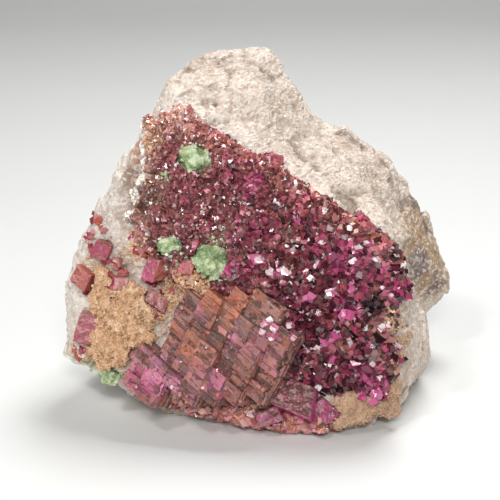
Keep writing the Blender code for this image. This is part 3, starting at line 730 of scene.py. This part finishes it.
# Patches of the stepped crystal: colour, middle, reach and strength
STEPPED_PATCHES = (
    ((0.66, 0.22, 0.11), (-4, -10, 26), 6.0, 0.9),
    (STAIN_GREY, (0, -13, 22), 5.0, 0.7),
    (DUSTY_ROSE, (2, -14, 17), 5.0, 0.8),
    (ORCHID, (-0.4, -14, 15.8), 2.2, 0.7),
    (ORCHID, (-15.5, -14, 12), 4.6, 0.8),
    ((0.66, 0.09, 0.33), (-6, -16, 11.5), 2.8, 1.0),
    ((0.62, 0.08, 0.30), (-18.5, -13, 9.5), 2.8, 0.95),
    (ORCHID, (-8.6, -13, 22.9), 1.3, 0.9),
    (STAIN_GREY, (-13, -14, 15), 2.6, 0.6),
    (STAIN_ORANGE, (-11, -14, 17.5), 3.6, 0.7),
    (STAIN_BROWN, (-1, -17, 10.5), 5.0, 0.7),
    (DUSTY_ROSE, (-8.5, -16, 13), 3.0, 0.7),
)


def face_axes(normal, edge):
    """The edges of a rhomb with one face square to normal and one edge along edge, as rows.

    The third edge points into the crystal, away from the face."""
    a, b, c = (Vector(row) for row in rhomb_axes())
    own_normal = a.cross(b).normalized()
    own = Matrix((a, own_normal.cross(a), own_normal)).transposed()
    normal, edge = Vector(normal).normalized(), Vector(edge)
    edge = (edge - normal * edge.dot(normal)).normalized()
    wanted = Matrix((edge, normal.cross(edge), normal)).transposed()
    a, b, c = (wanted @ own.inverted() @ axis for axis in (a, b, c))
    return np.array([a, b, c if c.dot(normal) < 0 else -c])


def lay_strips(tree, axes, signs, length, width, chance):
    """Strips of steps over one side of the stepped crystal: their middles and edges.

    They run along the first axis, beside each other along the second, and the third points in. Each
    block carries a few, and each of those stands lower than the one before it, as roof tiles do."""
    along, beside, inward = (axis * sign for axis, sign in zip(axes, signs))
    rows = int(STEPPED_REACH // width)
    columns = int(STEPPED_REACH // length)
    strips = []
    for row in range(-rows, rows + 1):
        for column in range(-columns, columns + 1):
            count = chance.integers(*STRIPS_IN_BLOCK)
            shares = np.sort(np.append(chance.random(count - 1) * 0.8 + 0.1, (0, 1)))
            lift = chance.uniform(*BLOCK_LIFTS)
            for start, end in zip(shares, shares[1:]):
                v = (row + (start + end) / 2 - 0.5) * width
                own = length * chance.uniform(*STRIP_LENGTHS)
                u = column * length + chance.uniform(-STRIP_SHIFT, STRIP_SHIFT)
                middle = STEPPED_CENTRE + along * u + beside * v
                line = Vector(middle - inward * STEPPED_REACH)
                hit = tree.ray_cast(line * MM, Vector(inward), 2 * STEPPED_REACH * MM)[0]
                if hit is not None and chance.random() > LOST_STRIPS:
                    rise = STRIP_LIFT + lift + ROOF_TILT * (start - 0.5)
                    rise += chance.uniform(-STRIP_ROUGHNESS, STRIP_ROUGHNESS)
                    centre = np.array(hit) / MM + inward * (STRIP_DEPTH / 2 - max(0.02, rise))
                    edges = (along * own, beside * (end - start) * width, inward * STRIP_DEPTH)
                    strips.append((centre, edges))
    return strips


stepped_tree = tree_of("stepped_calcite_crystal")
stepped_axes = face_axes(STEPPED_NORMAL, STEPPED_EDGE)
strip_chance = np.random.default_rng(5)
strip_centres, strip_edges, strip_colours = [], [], []
for order, signs, length, width in STEPPED_SIDES:
    axes = stepped_axes[list(order)]
    for centre, edges in lay_strips(stepped_tree, axes, signs, length, width, strip_chance):
        base = blend(STAIN_BROWN, STAIN_GREY, strip_chance.random() * 0.8)
        if strip_chance.random() > 0.85:
            base = blend(base, DUSTY_ROSE, 0.7)
        base *= strip_chance.uniform(0.35, 1.5)
        strip_centres.append(centre)
        strip_edges.append(edges)
        shade = strip_chance.uniform(0.65, 1.3)
        corners = (centre + i * edges[0] + j * edges[1] + k * edges[2]
                   for i in (-0.5, 0.5) for j in (-0.5, 0.5) for k in (-0.5, 0.5))
        strip_colours.append([shade * patched_colour(place, STEPPED_PATCHES, base) for place in corners])
stepped = joined_rhombs("stepped_crystal", strip_centres, strip_edges, strip_colours, 0.06)


def stained_material():
    """Calcite under a thin iron stain: dull on the steps, glassier where it is pink."""
    material, shader, place = begin_material("iron_stained_calcite")
    tint = place.attribute("tint", 0)
    clouds = place.noise(1.1, 4, 0.6)
    stretch = {"Vector": place, "Rotation": (0, STREAK_TURN, 0), "Scale": (STREAK_STRETCH, 1, 1)}
    streaks = place.node("ShaderNodeMapping", {"vector_type": "TEXTURE"}, stretch)
    colour = (clouds.rises(0.45, 0.7) * 0.5).mix(tint, STAIN_ORANGE)
    colour = (place.noise(0.6, 3, 0.6).rises(0.55, 0.75) * 0.4).mix(colour, DUSTY_ROSE)
    colour = (streaks.noise(0.45, 4, 0.7).rises(0.52, 0.66) * 0.8).mix(colour, DARK_SEAM_AND_SHADE)
    colour = (place.noise(1.3, 4, 0.7).rises(0.58, 0.68) * 0.6).mix(colour, DARK_SEAM_AND_SHADE)
    # Pale pink streaks: partly the cobalt pink, partly painted highlight
    colour = (streaks.noise(0.35, 3, 0.65).rises(0.56, 0.7) * 0.45).mix(colour, ROSE)
    roughness = 0.32 + clouds.rises(0.35, 0.65) * 0.4
    height = streaks.noise(0.28, 4, 0.65) * 0.22 + place.noise(1.2, 3, 0.6) * 0.22
    finish_material(shader, colour, roughness, height)
    let_light_in(shader, 0.12, (1.0, 0.35, 0.4), 0.5)
    return material


def keep_tint(piece, colour_at):
    """Gives a worked copy the tint of each of its points."""
    mesh = piece.data
    tint = mesh.attributes.new("tint", "FLOAT_COLOR", "POINT")
    for vertex, value in zip(mesh.vertices, tint.data):
        value.color = (*colour_at(vertex.co / MM, vertex.normal), 1.0)


stained_calcite = stained_material()
dress(stepped, stained_calcite, "iron_stained_calcite")


def fine_steps(point, size, height, offset=0.0):
    """Relief in flat steps with crisp edges, as cleaved and etched calcite has."""
    level = 3.5 * noise.noise(point / size + Vector((offset, 3.1, 7.7)))
    return height * round(level)


def core_relief(point, normal):
    return fine_steps(point, 1.6, 0.10) + 0.05 * noise.noise(point / 0.5)


def chip_size(place):
    return 0.34 + 0.16 * noise.noise(Vector(place) / 2)


def chip_colour(place, chance):
    """Broken bits of calcite lie on the steps, pinker and paler than the steps."""
    colour = (DUSTY_ROSE, STAIN_ORANGE, ASHEN, STAIN_GREY, UMBER)[chance.integers(5)]
    colour = patched_colour(place, STEPPED_PATCHES, colour)
    # A few chips are painted frosted white, as glints
    if chance.random() > 0.96:
        colour = FROST_AND_GLINT
    return blend(colour, ROSE, 0.3 * chance.random()) * chance.uniform(0.6, 1.2)


chip_surface = surface_of("stepped_calcite_crystal")
loose = grow_crystals(chip_surface, CHIP_TRIES, chip_size, chip_colour, strip_chance, -0.45, 0.6)
dress(joined_rhombs("stepped_chips", *loose), calcite, "iron_stained_calcite")

core = melted_copy("stepped_calcite_crystal", "stepped_core", CORE_VOXEL)
work_surface(core, core_relief)
# The core is darkened as painted shade in the gaps between the strips
keep_tint(core, lambda place, normal: patched_colour(place, STEPPED_PATCHES, STAIN_BROWN) * CORE_SHADE)
dress(core, stained_calcite, "iron_stained_calcite")

# Nine more crystals are large enough to see one by one: eight alone on the left of the block, and three
# rhombs grown together at the druse's foot. Their sides are glassy and their upper faces iron stained,
# and each side is coloured by the way it faces, which is partly painted light and shade.
LONE_VOXEL = 0.13
DEEP_RED = (0.27, 0.04, 0.045)
DULL_RED = (0.30, 0.085, 0.075)
CORAL = (0.60, 0.19, 0.13)
BLUSH = (0.62, 0.36, 0.34)
# Each crystal's colours, partly painted light and shade: the left sides, the front and the top, and how
# far dull red covers them
LONE_COLOURS = {
    "rhomb_rose": (HOT_PINK, CORAL, BLUSH, 0.4),
    "rhomb_garnet": (DULL_RED, DULL_RED, BLUSH, 0.4),
    "rhomb_left_foot": (HOT_PINK, DULL_RED, BLUSH, 0.4),
    "rhomb_left_crown": (CORAL, DEEP_RED, CORAL, 0.4),
    "rhomb_crimson": (MAGENTA, DEEP_RED, DULL_RED, 0.4),
    "rhomb_bead": (MAGENTA, BLUSH, CORAL, 0.4),
    "rhomb_pink_foot": (MAGENTA, MAGENTA, BLUSH, 0.4),
    "rhomb_coral": (MAGENTA, CORAL, BLUSH, 0.4),
    "foot_calcite_crystal": (MAGENTA, (0.48, 0.06, 0.22), (0.14, 0.06, 0.05), 0.1),
}


def lone_relief(point, normal):
    relief = fine_steps(point, 1.3, 0.06, 4.0) + 0.05 * noise.noise(point / 0.4)
    chip = noise.voronoi(point / 1.6)[0][0]
    return relief - 0.25 * max(0.0, 1 - chip / 0.25)


def lone_colour(colours):
    """The tint of a lone crystal: each of its sides in its own colour, partly painted light and shade,
    with dull and pale spots.
    """
    left, front, top, dull = colours

    def colour_at(place, normal):
        colour = blend(front, left, min(1.0, max(0.0, -1.8 * normal.x - 0.3 * normal.z - 0.15)))
        colour = blend(colour, top, min(1.0, max(0.0, 2.6 * normal.z - 0.7)))
        worn = noise.noise(Vector(place) / 0.9 + Vector((8, 2, 5)))
        colour = blend(colour, DULL_RED, max(0.0, dull + 0.5 * noise.noise(Vector(place) / 1.4)))
        return blend(colour, ASHEN, min(0.3, max(0.0, 2.2 * worn - 0.7)))

    return colour_at


lone_calcite = calcite_material("lone_calcite", 0.15, 0.45)
for node, colours in LONE_COLOURS.items():
    name = node.replace("rhomb_", "lone_crystal_").replace("foot_calcite", "foot_group")
    crystal = melted_copy(node, name, LONE_VOXEL)
    work_surface(crystal, lone_relief)
    keep_tint(crystal, lone_colour(colours))
    dress(crystal, lone_calcite, "rose_calcite")

# Small crystals also stand where the photo shows them one by one: frosted white rhombs on the druse,
# their white partly painted glint, with hot pink sides, and red ones scattered over the bare rock at its
# left, each grown where it stands.
# Places are as seen from the front, X and Z.
# Frosted crystals, whose white is partly painted glint: place, length, normal of the bright face and its
# edge
FROSTED_GLINT_CRYSTALS = (
    ((1.4, 32.6), 2.3, (0.1, -0.80, 0.60), (0.9, 0, 0.1)),
    ((6.2, 31.1), 2.5, (0.15, -0.82, 0.55), (0.9, 0, -0.25)),
    ((3.9, 30.1), 1.9, (-0.05, -0.85, 0.5), (0.8, 0, -0.5)),
    ((3.4, 22.8), 1.7, (-0.1, -0.9, 0.4), (0.8, 0, 0.4)),
    ((4.4, 21.2), 1.5, (0.1, -0.9, 0.35), (0.7, 0, -0.6)),
    ((2.8, 21.9), 1.2, (-0.2, -0.9, 0.3), (0.7, 0, 0.5)),
    ((6.9, 21.4), 1.6, (0.3, -0.85, 0.4), (0.9, 0, 0.2)),
    ((4.0, 19.8), 1.3, (-0.1, -0.95, 0.2), (0.8, 0, 0.3)),
    ((2.2, 20.4), 1.2, (0.2, -0.8, 0.5), (0.7, 0, -0.4)),
    ((7.4, 19.9), 1.1, (0.3, -0.9, 0.1), (0.8, 0, 0.6)),
    ((9.6, 16.8), 1.7, (0.2, -0.92, 0.3), (0.75, 0, 0.65)),
    ((22.3, 13.8), 1.7, (0.25, -0.9, 0.35), (0.7, 0, -0.65)),
    ((19.4, 35.0), 1.6, (0.1, -0.7, 0.7), (0.95, 0, 0.25)),
    ((21.2, 36.0), 1.4, (0.1, -0.7, 0.7), (0.95, 0, 0.2)),
    ((14.6, 27.0), 1.5, (0.0, -0.92, 0.35), (0.9, 0, 0.2)),
    ((25.2, 27.2), 1.1, (0.2, -0.92, 0.3), (0.7, 0, 0.4)),
    ((23.9, 28.2), 0.9, (0.0, -0.92, 0.3), (0.7, 0, 0.4)),
    ((23.6, 33.2), 1.7, (0.1, -0.8, 0.55), (0.85, 0, 0.5)),
    ((12.0, 32.4), 1.3, (-0.5, -0.8, 0.3), (0.3, 0, 0.95)),
    ((13.2, 36.2), 1.2, (-0.3, -0.8, 0.5), (0.7, 0, 0.7)),
    ((24.0, 21.6), 1.9, (0.1, -0.85, 0.5), (0.75, 0, 0.65)),
)
# Bright magenta crystals: place and length
BRIGHT_CRYSTALS = (
    ((17.2, 23.7), 2.6), ((15.6, 23.9), 1.9), ((14.9, 18.9), 2.1), ((13.9, 18.0), 1.4),
    ((22.4, 9.2), 2.6), ((20.6, 8.6), 1.8), ((24.4, 10.4), 1.8), ((-3.3, 30.7), 2.0),
    ((-2.2, 29.6), 1.4), ((21.4, 31.4), 1.9), ((24.6, 31.2), 1.6), ((18.0, 27.6), 1.6),
    ((10.4, 26.2), 1.7), ((8.4, 39.4), 1.3),
)
# Each bright one is this many crystals
BRIGHT_CLUSTER = 3
# How far the frosted crystals, with their painted glint, and the bright ones stand out of the druse
FROSTED_GLINT_LIFT, BRIGHT_LIFT = 1.2, 0.5
# Lines from the front start at this Y
FRONT_START = -60
# Red crystals on the bare rock: the middle of each patch, its reach, how many and their size
RED_PATCHES = (
    ((-28.6, 34.0), 2.6, 26, 0.75),
    ((-25.2, 29.0), 2.4, 16, 0.7),
    ((-30.8, 25.6), 2.0, 12, 0.7),
    ((-18.6, 35.0), 3.6, 40, 0.7),
    ((-15.4, 38.5), 3.2, 60, 0.55),
    ((-31.5, 11.6), 1.8, 10, 0.6),
    ((-19.5, 21.0), 2.4, 14, 0.8),
    ((-16.0, 27.0), 3.0, 12, 0.6),
)
# A frosted crystal is cleaved into plates, the first few of them small: their colours from the front
# back, its frosted white partly painted glint, and, as shares of its length, their thickness, the depth
# of the first and the step to the next
PLATE_COLOURS = (FROST_AND_GLINT, FROST_AND_GLINT, FROST_AND_GLINT, HOT_PINK, FROST_AND_GLINT, MAGENTA, HOT_PINK, MAGENTA)
SMALL_PLATES = 3
PLATE_THICKNESS, PLATE_START, PLATE_STEP = 0.24, 0.112, 0.1344
front_tree = tree_of("matrix_rock", "calcite_druse", "calcite_foot_crust", "stepped_calcite_crystal")
rock_points = [vertex.co for vertex in rock.data.vertices]
rock_tree = BVHTree.FromPolygons(rock_points, [face.vertices for face in rock.data.polygons])


def front_spot(tree, x, z):
    """Where a line from before the specimen first meets the solids, and the normal there."""
    hit, normal, _, _ = tree.ray_cast(Vector((x, FRONT_START, z)) * MM, -Vector(FRONT))
    return (np.array(hit) / MM, np.array(normal)) if hit else (None, None)


set_chance = np.random.default_rng(23)
set_centres, set_edges, set_colours = [], [], []


def set_crystal(centre, axes, sizes, colour):
    set_centres.append(centre)
    set_edges.append(axes * np.array(sizes)[:, None])
    set_colours.append(colour)


for (x, z), length, normal, edge in FROSTED_GLINT_CRYSTALS:
    spot, _ = front_spot(front_tree, x, z)
    axes = face_axes(normal, edge)
    top = spot - axes[2] * FROSTED_GLINT_LIFT
    for k, colour in enumerate(PLATE_COLOURS):
        share = 0.45 if k < SMALL_PLATES else 0.85
        along, beside = set_chance.uniform(-0.25, 0.25), set_chance.uniform(-0.2, 0.2)
        shift = (axes[0] * along + axes[1] * beside) * length
        long, wide = set_chance.uniform(0.9, 1.2) * share, set_chance.uniform(0.7, 1.0) * share
        sizes = (length * long, length * wide, length * PLATE_THICKNESS)
        own = blend(colour, ROSE, set_chance.uniform(0, 0.5))
        behind = axes[2] * length * (PLATE_START + k * PLATE_STEP)
        set_crystal(top + behind + shift, axes, sizes, own)
for (x, z), length in BRIGHT_CRYSTALS:
    spot, normal = front_spot(front_tree, x, z)
    for _ in range(BRIGHT_CLUSTER):
        axes = random_rhomb(normal, 1.0, 0.35, set_chance)
        size = length * set_chance.uniform(0.35, 0.65)
        shift = set_chance.normal(0, 0.22 * length, 3)
        colour = blend(HOT_PINK, ORCHID, set_chance.random())
        set_crystal(spot + normal * BRIGHT_LIFT + shift, axes, (size, size, size), colour)
for (x, z), reach, count, size in RED_PATCHES:
    for _ in range(count):
        away, turn = reach * math.sqrt(set_chance.random()), set_chance.uniform(0, math.tau)
        spot, normal = front_spot(rock_tree, x + away * math.cos(turn), z + away * math.sin(turn))
        if spot is not None:
            own = size * set_chance.uniform(0.6, 1.6)
            axes = random_rhomb(normal, own, 0.5, set_chance)
            bright = (MAGENTA, CORAL, BLUSH)[set_chance.integers(3)]
            colour = blend(DEEP_RED, bright, set_chance.random() * 0.7)
            set_crystal(spot + normal * own * 0.2, axes, (1, 1, 1), colour)
set_piece = joined_rhombs("set_crystals", set_centres, set_edges, set_colours, 0.06)
dress(set_piece, calcite, "rose_calcite")

# Malachite grew last on the druse and the rock, as soft chalky tufts of pale green copper carbonate,
# knobbly like cauliflower.
TUFT_VOXEL = 0.16
KNOB_SIZE, BUD_SIZE = 0.85, 0.42
GREEN_PALE = (0.61, 0.70, 0.45)
# Deep green where the tufts lie low between their knobs: painted shade
GREEN_CREVICE_SHADE = (0.23, 0.32, 0.14)
GREEN_OLIVE = (0.34, 0.36, 0.14)
GREEN_DUST = (0.70, 0.80, 0.62)
TUFTS = ("malachite_upper", "malachite_middle", "malachite_olive", "malachite_corner")


def tuft_relief(point, normal):
    near = noise.voronoi(point / KNOB_SIZE + 0.5 * noise.noise_vector(point / 1.5))[0][0]
    small = noise.voronoi(point / BUD_SIZE)[0][0]
    sideways = 1 - abs(normal.y)
    ragged = 2.0 * noise.noise(point / 2.3 + Vector((2, 7, 1))) * sideways
    ragged += 0.5 * noise.noise(point / 1.2)
    return 0.3 - 0.45 * near - 0.4 * small + max(-1.2, min(0.45, ragged))


def malachite_material():
    material, shader, place = begin_material("chalky_malachite")
    relief = place.attribute("relief", 2)
    # Darker green where the surface lies low between the knobs: painted shade
    colour = relief.rises(-0.45, 0.3).mix(GREEN_CREVICE_SHADE, GREEN_PALE)
    colour = (place.noise(2.4, 3, 0.6).rises(0.48, 0.68) * 0.65).mix(colour, GREEN_OLIVE)
    colour = (place.cells(0.3, output=1).red().rises(0.6, 1.0) * 0.4).mix(colour, GREEN_DUST)
    height = place.noise(0.25, 4, 0.65) * 0.16 + place.cells(0.3) * 0.08
    finish_material(shader, colour, 0.85, height, specular=0.3)
    return material


malachite = malachite_material()
for node in TUFTS:
    tuft = melted_copy(node, node.replace("malachite_", "malachite_tuft_"), TUFT_VOXEL)
    work_surface(tuft, tuft_relief)
    dress(tuft, malachite, "malachite")

# The ochre is an earthy bed of iron-stained grains that filled the hollows: crumbly, matte and sandy.
# Loose grains of it and flecks of malachite lie strewn over the stone beside them.
OCHRE_VOXEL = 0.24
LUMP_SIZE, CRUMB_SIZE = 1.25, 0.6
OCHRE_SAND = (0.66, 0.40, 0.23)
OCHRE_PALE = (0.88, 0.68, 0.49)
# Dark brown of the ochre, also used as painted shade where its bed lies low
OCHRE_BROWN = (0.26, 0.13, 0.06)
OCHRE_DUSTY = (0.50, 0.34, 0.25)
OCHRE_RED = (0.50, 0.22, 0.11)
OCHRE_STRAW = (0.86, 0.72, 0.54)
GRAIN_TRIES = 6000
GRAIN_SPACING = 0.42
GRAIN_SIZE = (0.13, 0.36)
STRAY_SIZE = (0.12, 0.34)
GRAIN_LIFT = 0.12
# Grains strewn over the stone beside the beds: middle from the front, reach and how many
OCHRE_STRAYS = (
    ((-11.5, 27), 4.6, 520),
    ((-15, 23), 4.0, 260),
    ((-28, 28), 3.6, 160),
    ((-29.5, 13), 4.2, 240),
    ((-19, 20), 4.0, 260),
    ((25.2, 21), 2.6, 260),
    ((27.5, 16), 2.6, 160),
    ((-21, 33), 3.4, 150),
)
# Flecks of malachite strewn about its tufts
GREEN_FLECKS = (
    ((-10, 49.5), 3.4, 60),
    ((-15.3, 46.5), 1.0, 26),
    ((-7, 31.5), 3.6, 70),
    ((-14, 32.5), 3.2, 70),
    ((-5.5, 36.5), 3.4, 40),
    ((-6.8, 26), 1.0, 26),
    ((-25.5, 9.5), 2.4, 60),
    ((-30.5, 9.5), 1.6, 20),
)


def joined_surface(*pieces):
    """The corners and faces of several pieces as one surface."""
    points, faces = [], []
    for piece in pieces:
        faces += [[v + len(points) for v in face.vertices] for face in piece.data.polygons]
        points += [vertex.co for vertex in piece.data.vertices]
    return points, faces


def ochre_relief(point, normal):
    near = noise.voronoi(point / LUMP_SIZE)[0][0]
    small = noise.voronoi(point / CRUMB_SIZE)[0][0]
    relief = 0.46 - 0.7 * near - 0.3 * small + 0.45 * lumps(point, 2.6)
    pit = noise.noise(point / 1.3 + Vector((5, 5, 1)))
    return relief - max(0.0, pit - 0.25)


def ochre_material():
    material, shader, place = begin_material("ochre_earth")
    relief = place.attribute("relief", 2)
    # Darker brown where the bed lies low between its lumps: painted shade
    colour = relief.rises(-0.55, 0.1).mix(OCHRE_BROWN, OCHRE_SAND)
    colour = (place.noise(1.6, 4, 0.65).rises(0.45, 0.7) * 0.7).mix(colour, OCHRE_PALE)
    colour = (place.noise(3.0, 2).rises(0.6, 0.72) * 0.45).mix(colour, OCHRE_RED)
    grain = place.cells(0.35, output=1).red()
    colour = (grain.rises(0.7, 1.0) * 0.3).mix(colour, OCHRE_STRAW)
    colour = ((1 - grain.rises(0.0, 0.1)) * 0.2).mix(colour, OCHRE_BROWN)
    right = place.node("ShaderNodeSeparateXYZ", None, {0: place}).rises(5, 14)
    colour = (right * 0.6).mix(colour, OCHRE_DUSTY)
    height = place.noise(0.3, 4, 0.7) * 0.16 + place.cells(0.4) * 0.1
    finish_material(shader, colour, 0.95, height, specular=0.2)
    return material


def joined_grains(name, spots, sizes, chance):
    """Loose angular grains at these places and normals, as one mesh."""
    ball = bmesh.new()
    bmesh.ops.create_icosphere(ball, subdivisions=1, radius=1.0)
    shape = np.array([v.co for v in ball.verts])
    ball.verts.index_update()
    triangles = np.array([[v.index for v in f.verts] for f in ball.faces])
    ball.free()
    points, faces = [], []
    for k, (place, normal) in enumerate(spots):
        size = chance.uniform(*sizes) * chance.uniform(0.7, 1.2, 3)
        lumpy = shape * size * chance.uniform(0.8, 1.2, (len(shape), 1))
        points.append(place + np.array(normal) * GRAIN_LIFT + lumpy)
        faces.append(triangles + k * len(shape))
    return piece_of(name, np.concatenate(points), np.concatenate(faces))


def patch_spots(patches, tree, lift, chance):
    """Places and normals over patches seen from the front, up to this lift off the surface."""
    spots = []
    for (x, z), reach, count in patches:
        for _ in range(count):
            away, turn = reach * chance.random(), chance.uniform(0, math.tau)
            spot, normal = front_spot(tree, x + away * math.cos(turn), z + away * math.sin(turn))
            if spot is not None:
                spots.append((spot + normal * chance.uniform(0, lift), normal))
    return spots


ochre = ochre_material()
earth_chance = np.random.default_rng(31)
crusts = (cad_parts[node] for node in CRUST_NODES)
rock_and_crusts = BVHTree.FromPolygons(*joined_surface(rock, *crusts))
for name, patches, lift, material, slot in (
    ("ochre_strays", OCHRE_STRAYS, 0.3, ochre, "ochre_earth"),
    ("malachite_flecks", GREEN_FLECKS, 0.6, malachite, "malachite"),
):
    spots = patch_spots(patches, rock_and_crusts, lift, earth_chance)
    dress(joined_grains(name, spots, STRAY_SIZE, earth_chance), material, slot)
for node in ("ochre_left", "ochre_right"):
    bed = melted_copy(node, node.replace("ochre_", "ochre_bed_"), OCHRE_VOXEL)
    work_surface(bed, ochre_relief)
    bed_surface = surface_of(node, bed.data)
    spots = spread_points(bed_surface, GRAIN_TRIES, lambda place: GRAIN_SPACING, earth_chance)
    grains = joined_grains(node.replace("ochre_", "ochre_grains_"), spots, GRAIN_SIZE, earth_chance)
    dress(bed, ochre, "ochre_earth")
    dress(grains, ochre, "ochre_earth")

# The specimen stands on a plain pale table that curves up behind it, in broad soft daylight from above
# and from the left, with a smaller window that makes the crystal faces flash.
# The table's half width, where it starts to curve up, and the curve's radius and steps
FLOOR_HALF, FLOOR_DEPTH = 900, 420
CURVE_RADIUS, CURVE_STEPS = 260, 16
FLOOR_COLOUR = (0.73, 0.735, 0.72)
WORLD_COLOUR, WORLD_STRENGTH = (0.95, 0.97, 1.0, 1.0), 0.10
# Lamps: name, place, width, height and power
LAMPS = (
    ("sky_window", (110, 150, 430), 240, 180, 1.95),
    ("left_window", (-420, -160, 220), 160, 200, 0.45),
    ("front_fill", (10, -460, 300), 140, 110, 1.75),
    ("glint_lamp", (-180, -300, 420), 50, 50, 0.7),
)


def build_stage():
    floor = bpy.data.meshes.new("floor")
    builder = bmesh.new()
    side, radius, back = FLOOR_HALF * MM, CURVE_RADIUS * MM, FLOOR_DEPTH * MM
    turns = [math.pi / 2 * k / CURVE_STEPS for k in range(CURVE_STEPS + 1)]
    rows = [(-side, 0.0), (0.0, 0.0)]
    rows += [(back + radius * math.sin(turn), radius * (1 - math.cos(turn))) for turn in turns]
    rows.append((back + radius, side))
    grid = [[builder.verts.new((x, y, z)) for x in (-side, side)] for y, z in rows]
    for (a, b), (c, d) in zip(grid, grid[1:]):
        builder.faces.new((a, b, d, c))
    builder.to_mesh(floor)
    builder.free()
    floor.shade_smooth()
    stage = place_piece("floor", floor)
    material, shader, place = begin_material("pale_table")
    colour = place.noise(60, 2).rises(0.3, 0.7).mix(FLOOR_COLOUR, tuple(c * 0.985 for c in FLOOR_COLOUR))
    finish_material(shader, colour, 0.6, place.noise(8, 2) * 0.01)
    stage.data.materials.append(material)


build_stage()
for name, place, width, height, power in LAMPS:
    lamp = bpy.data.lights.new(name, "AREA")
    lamp.shape = "RECTANGLE"
    lamp.size = width * MM
    lamp.size_y = height * MM
    lamp.energy = power
    light = bpy.data.objects.new(name, lamp)
    light.location = Vector(place) * MM
    light.rotation_euler = (VIEW_TARGET - Vector(place)).to_track_quat("-Z", "Y").to_euler()
    bpy.context.scene.collection.objects.link(light)

world = bpy.data.worlds.new("daylight")
world.use_nodes = True
background = world.node_tree.nodes["Background"]
background.inputs["Color"].default_value = WORLD_COLOUR
background.inputs["Strength"].default_value = WORLD_STRENGTH
bpy.context.scene.world = world
bpy.context.scene.view_settings.view_transform = "Standard"
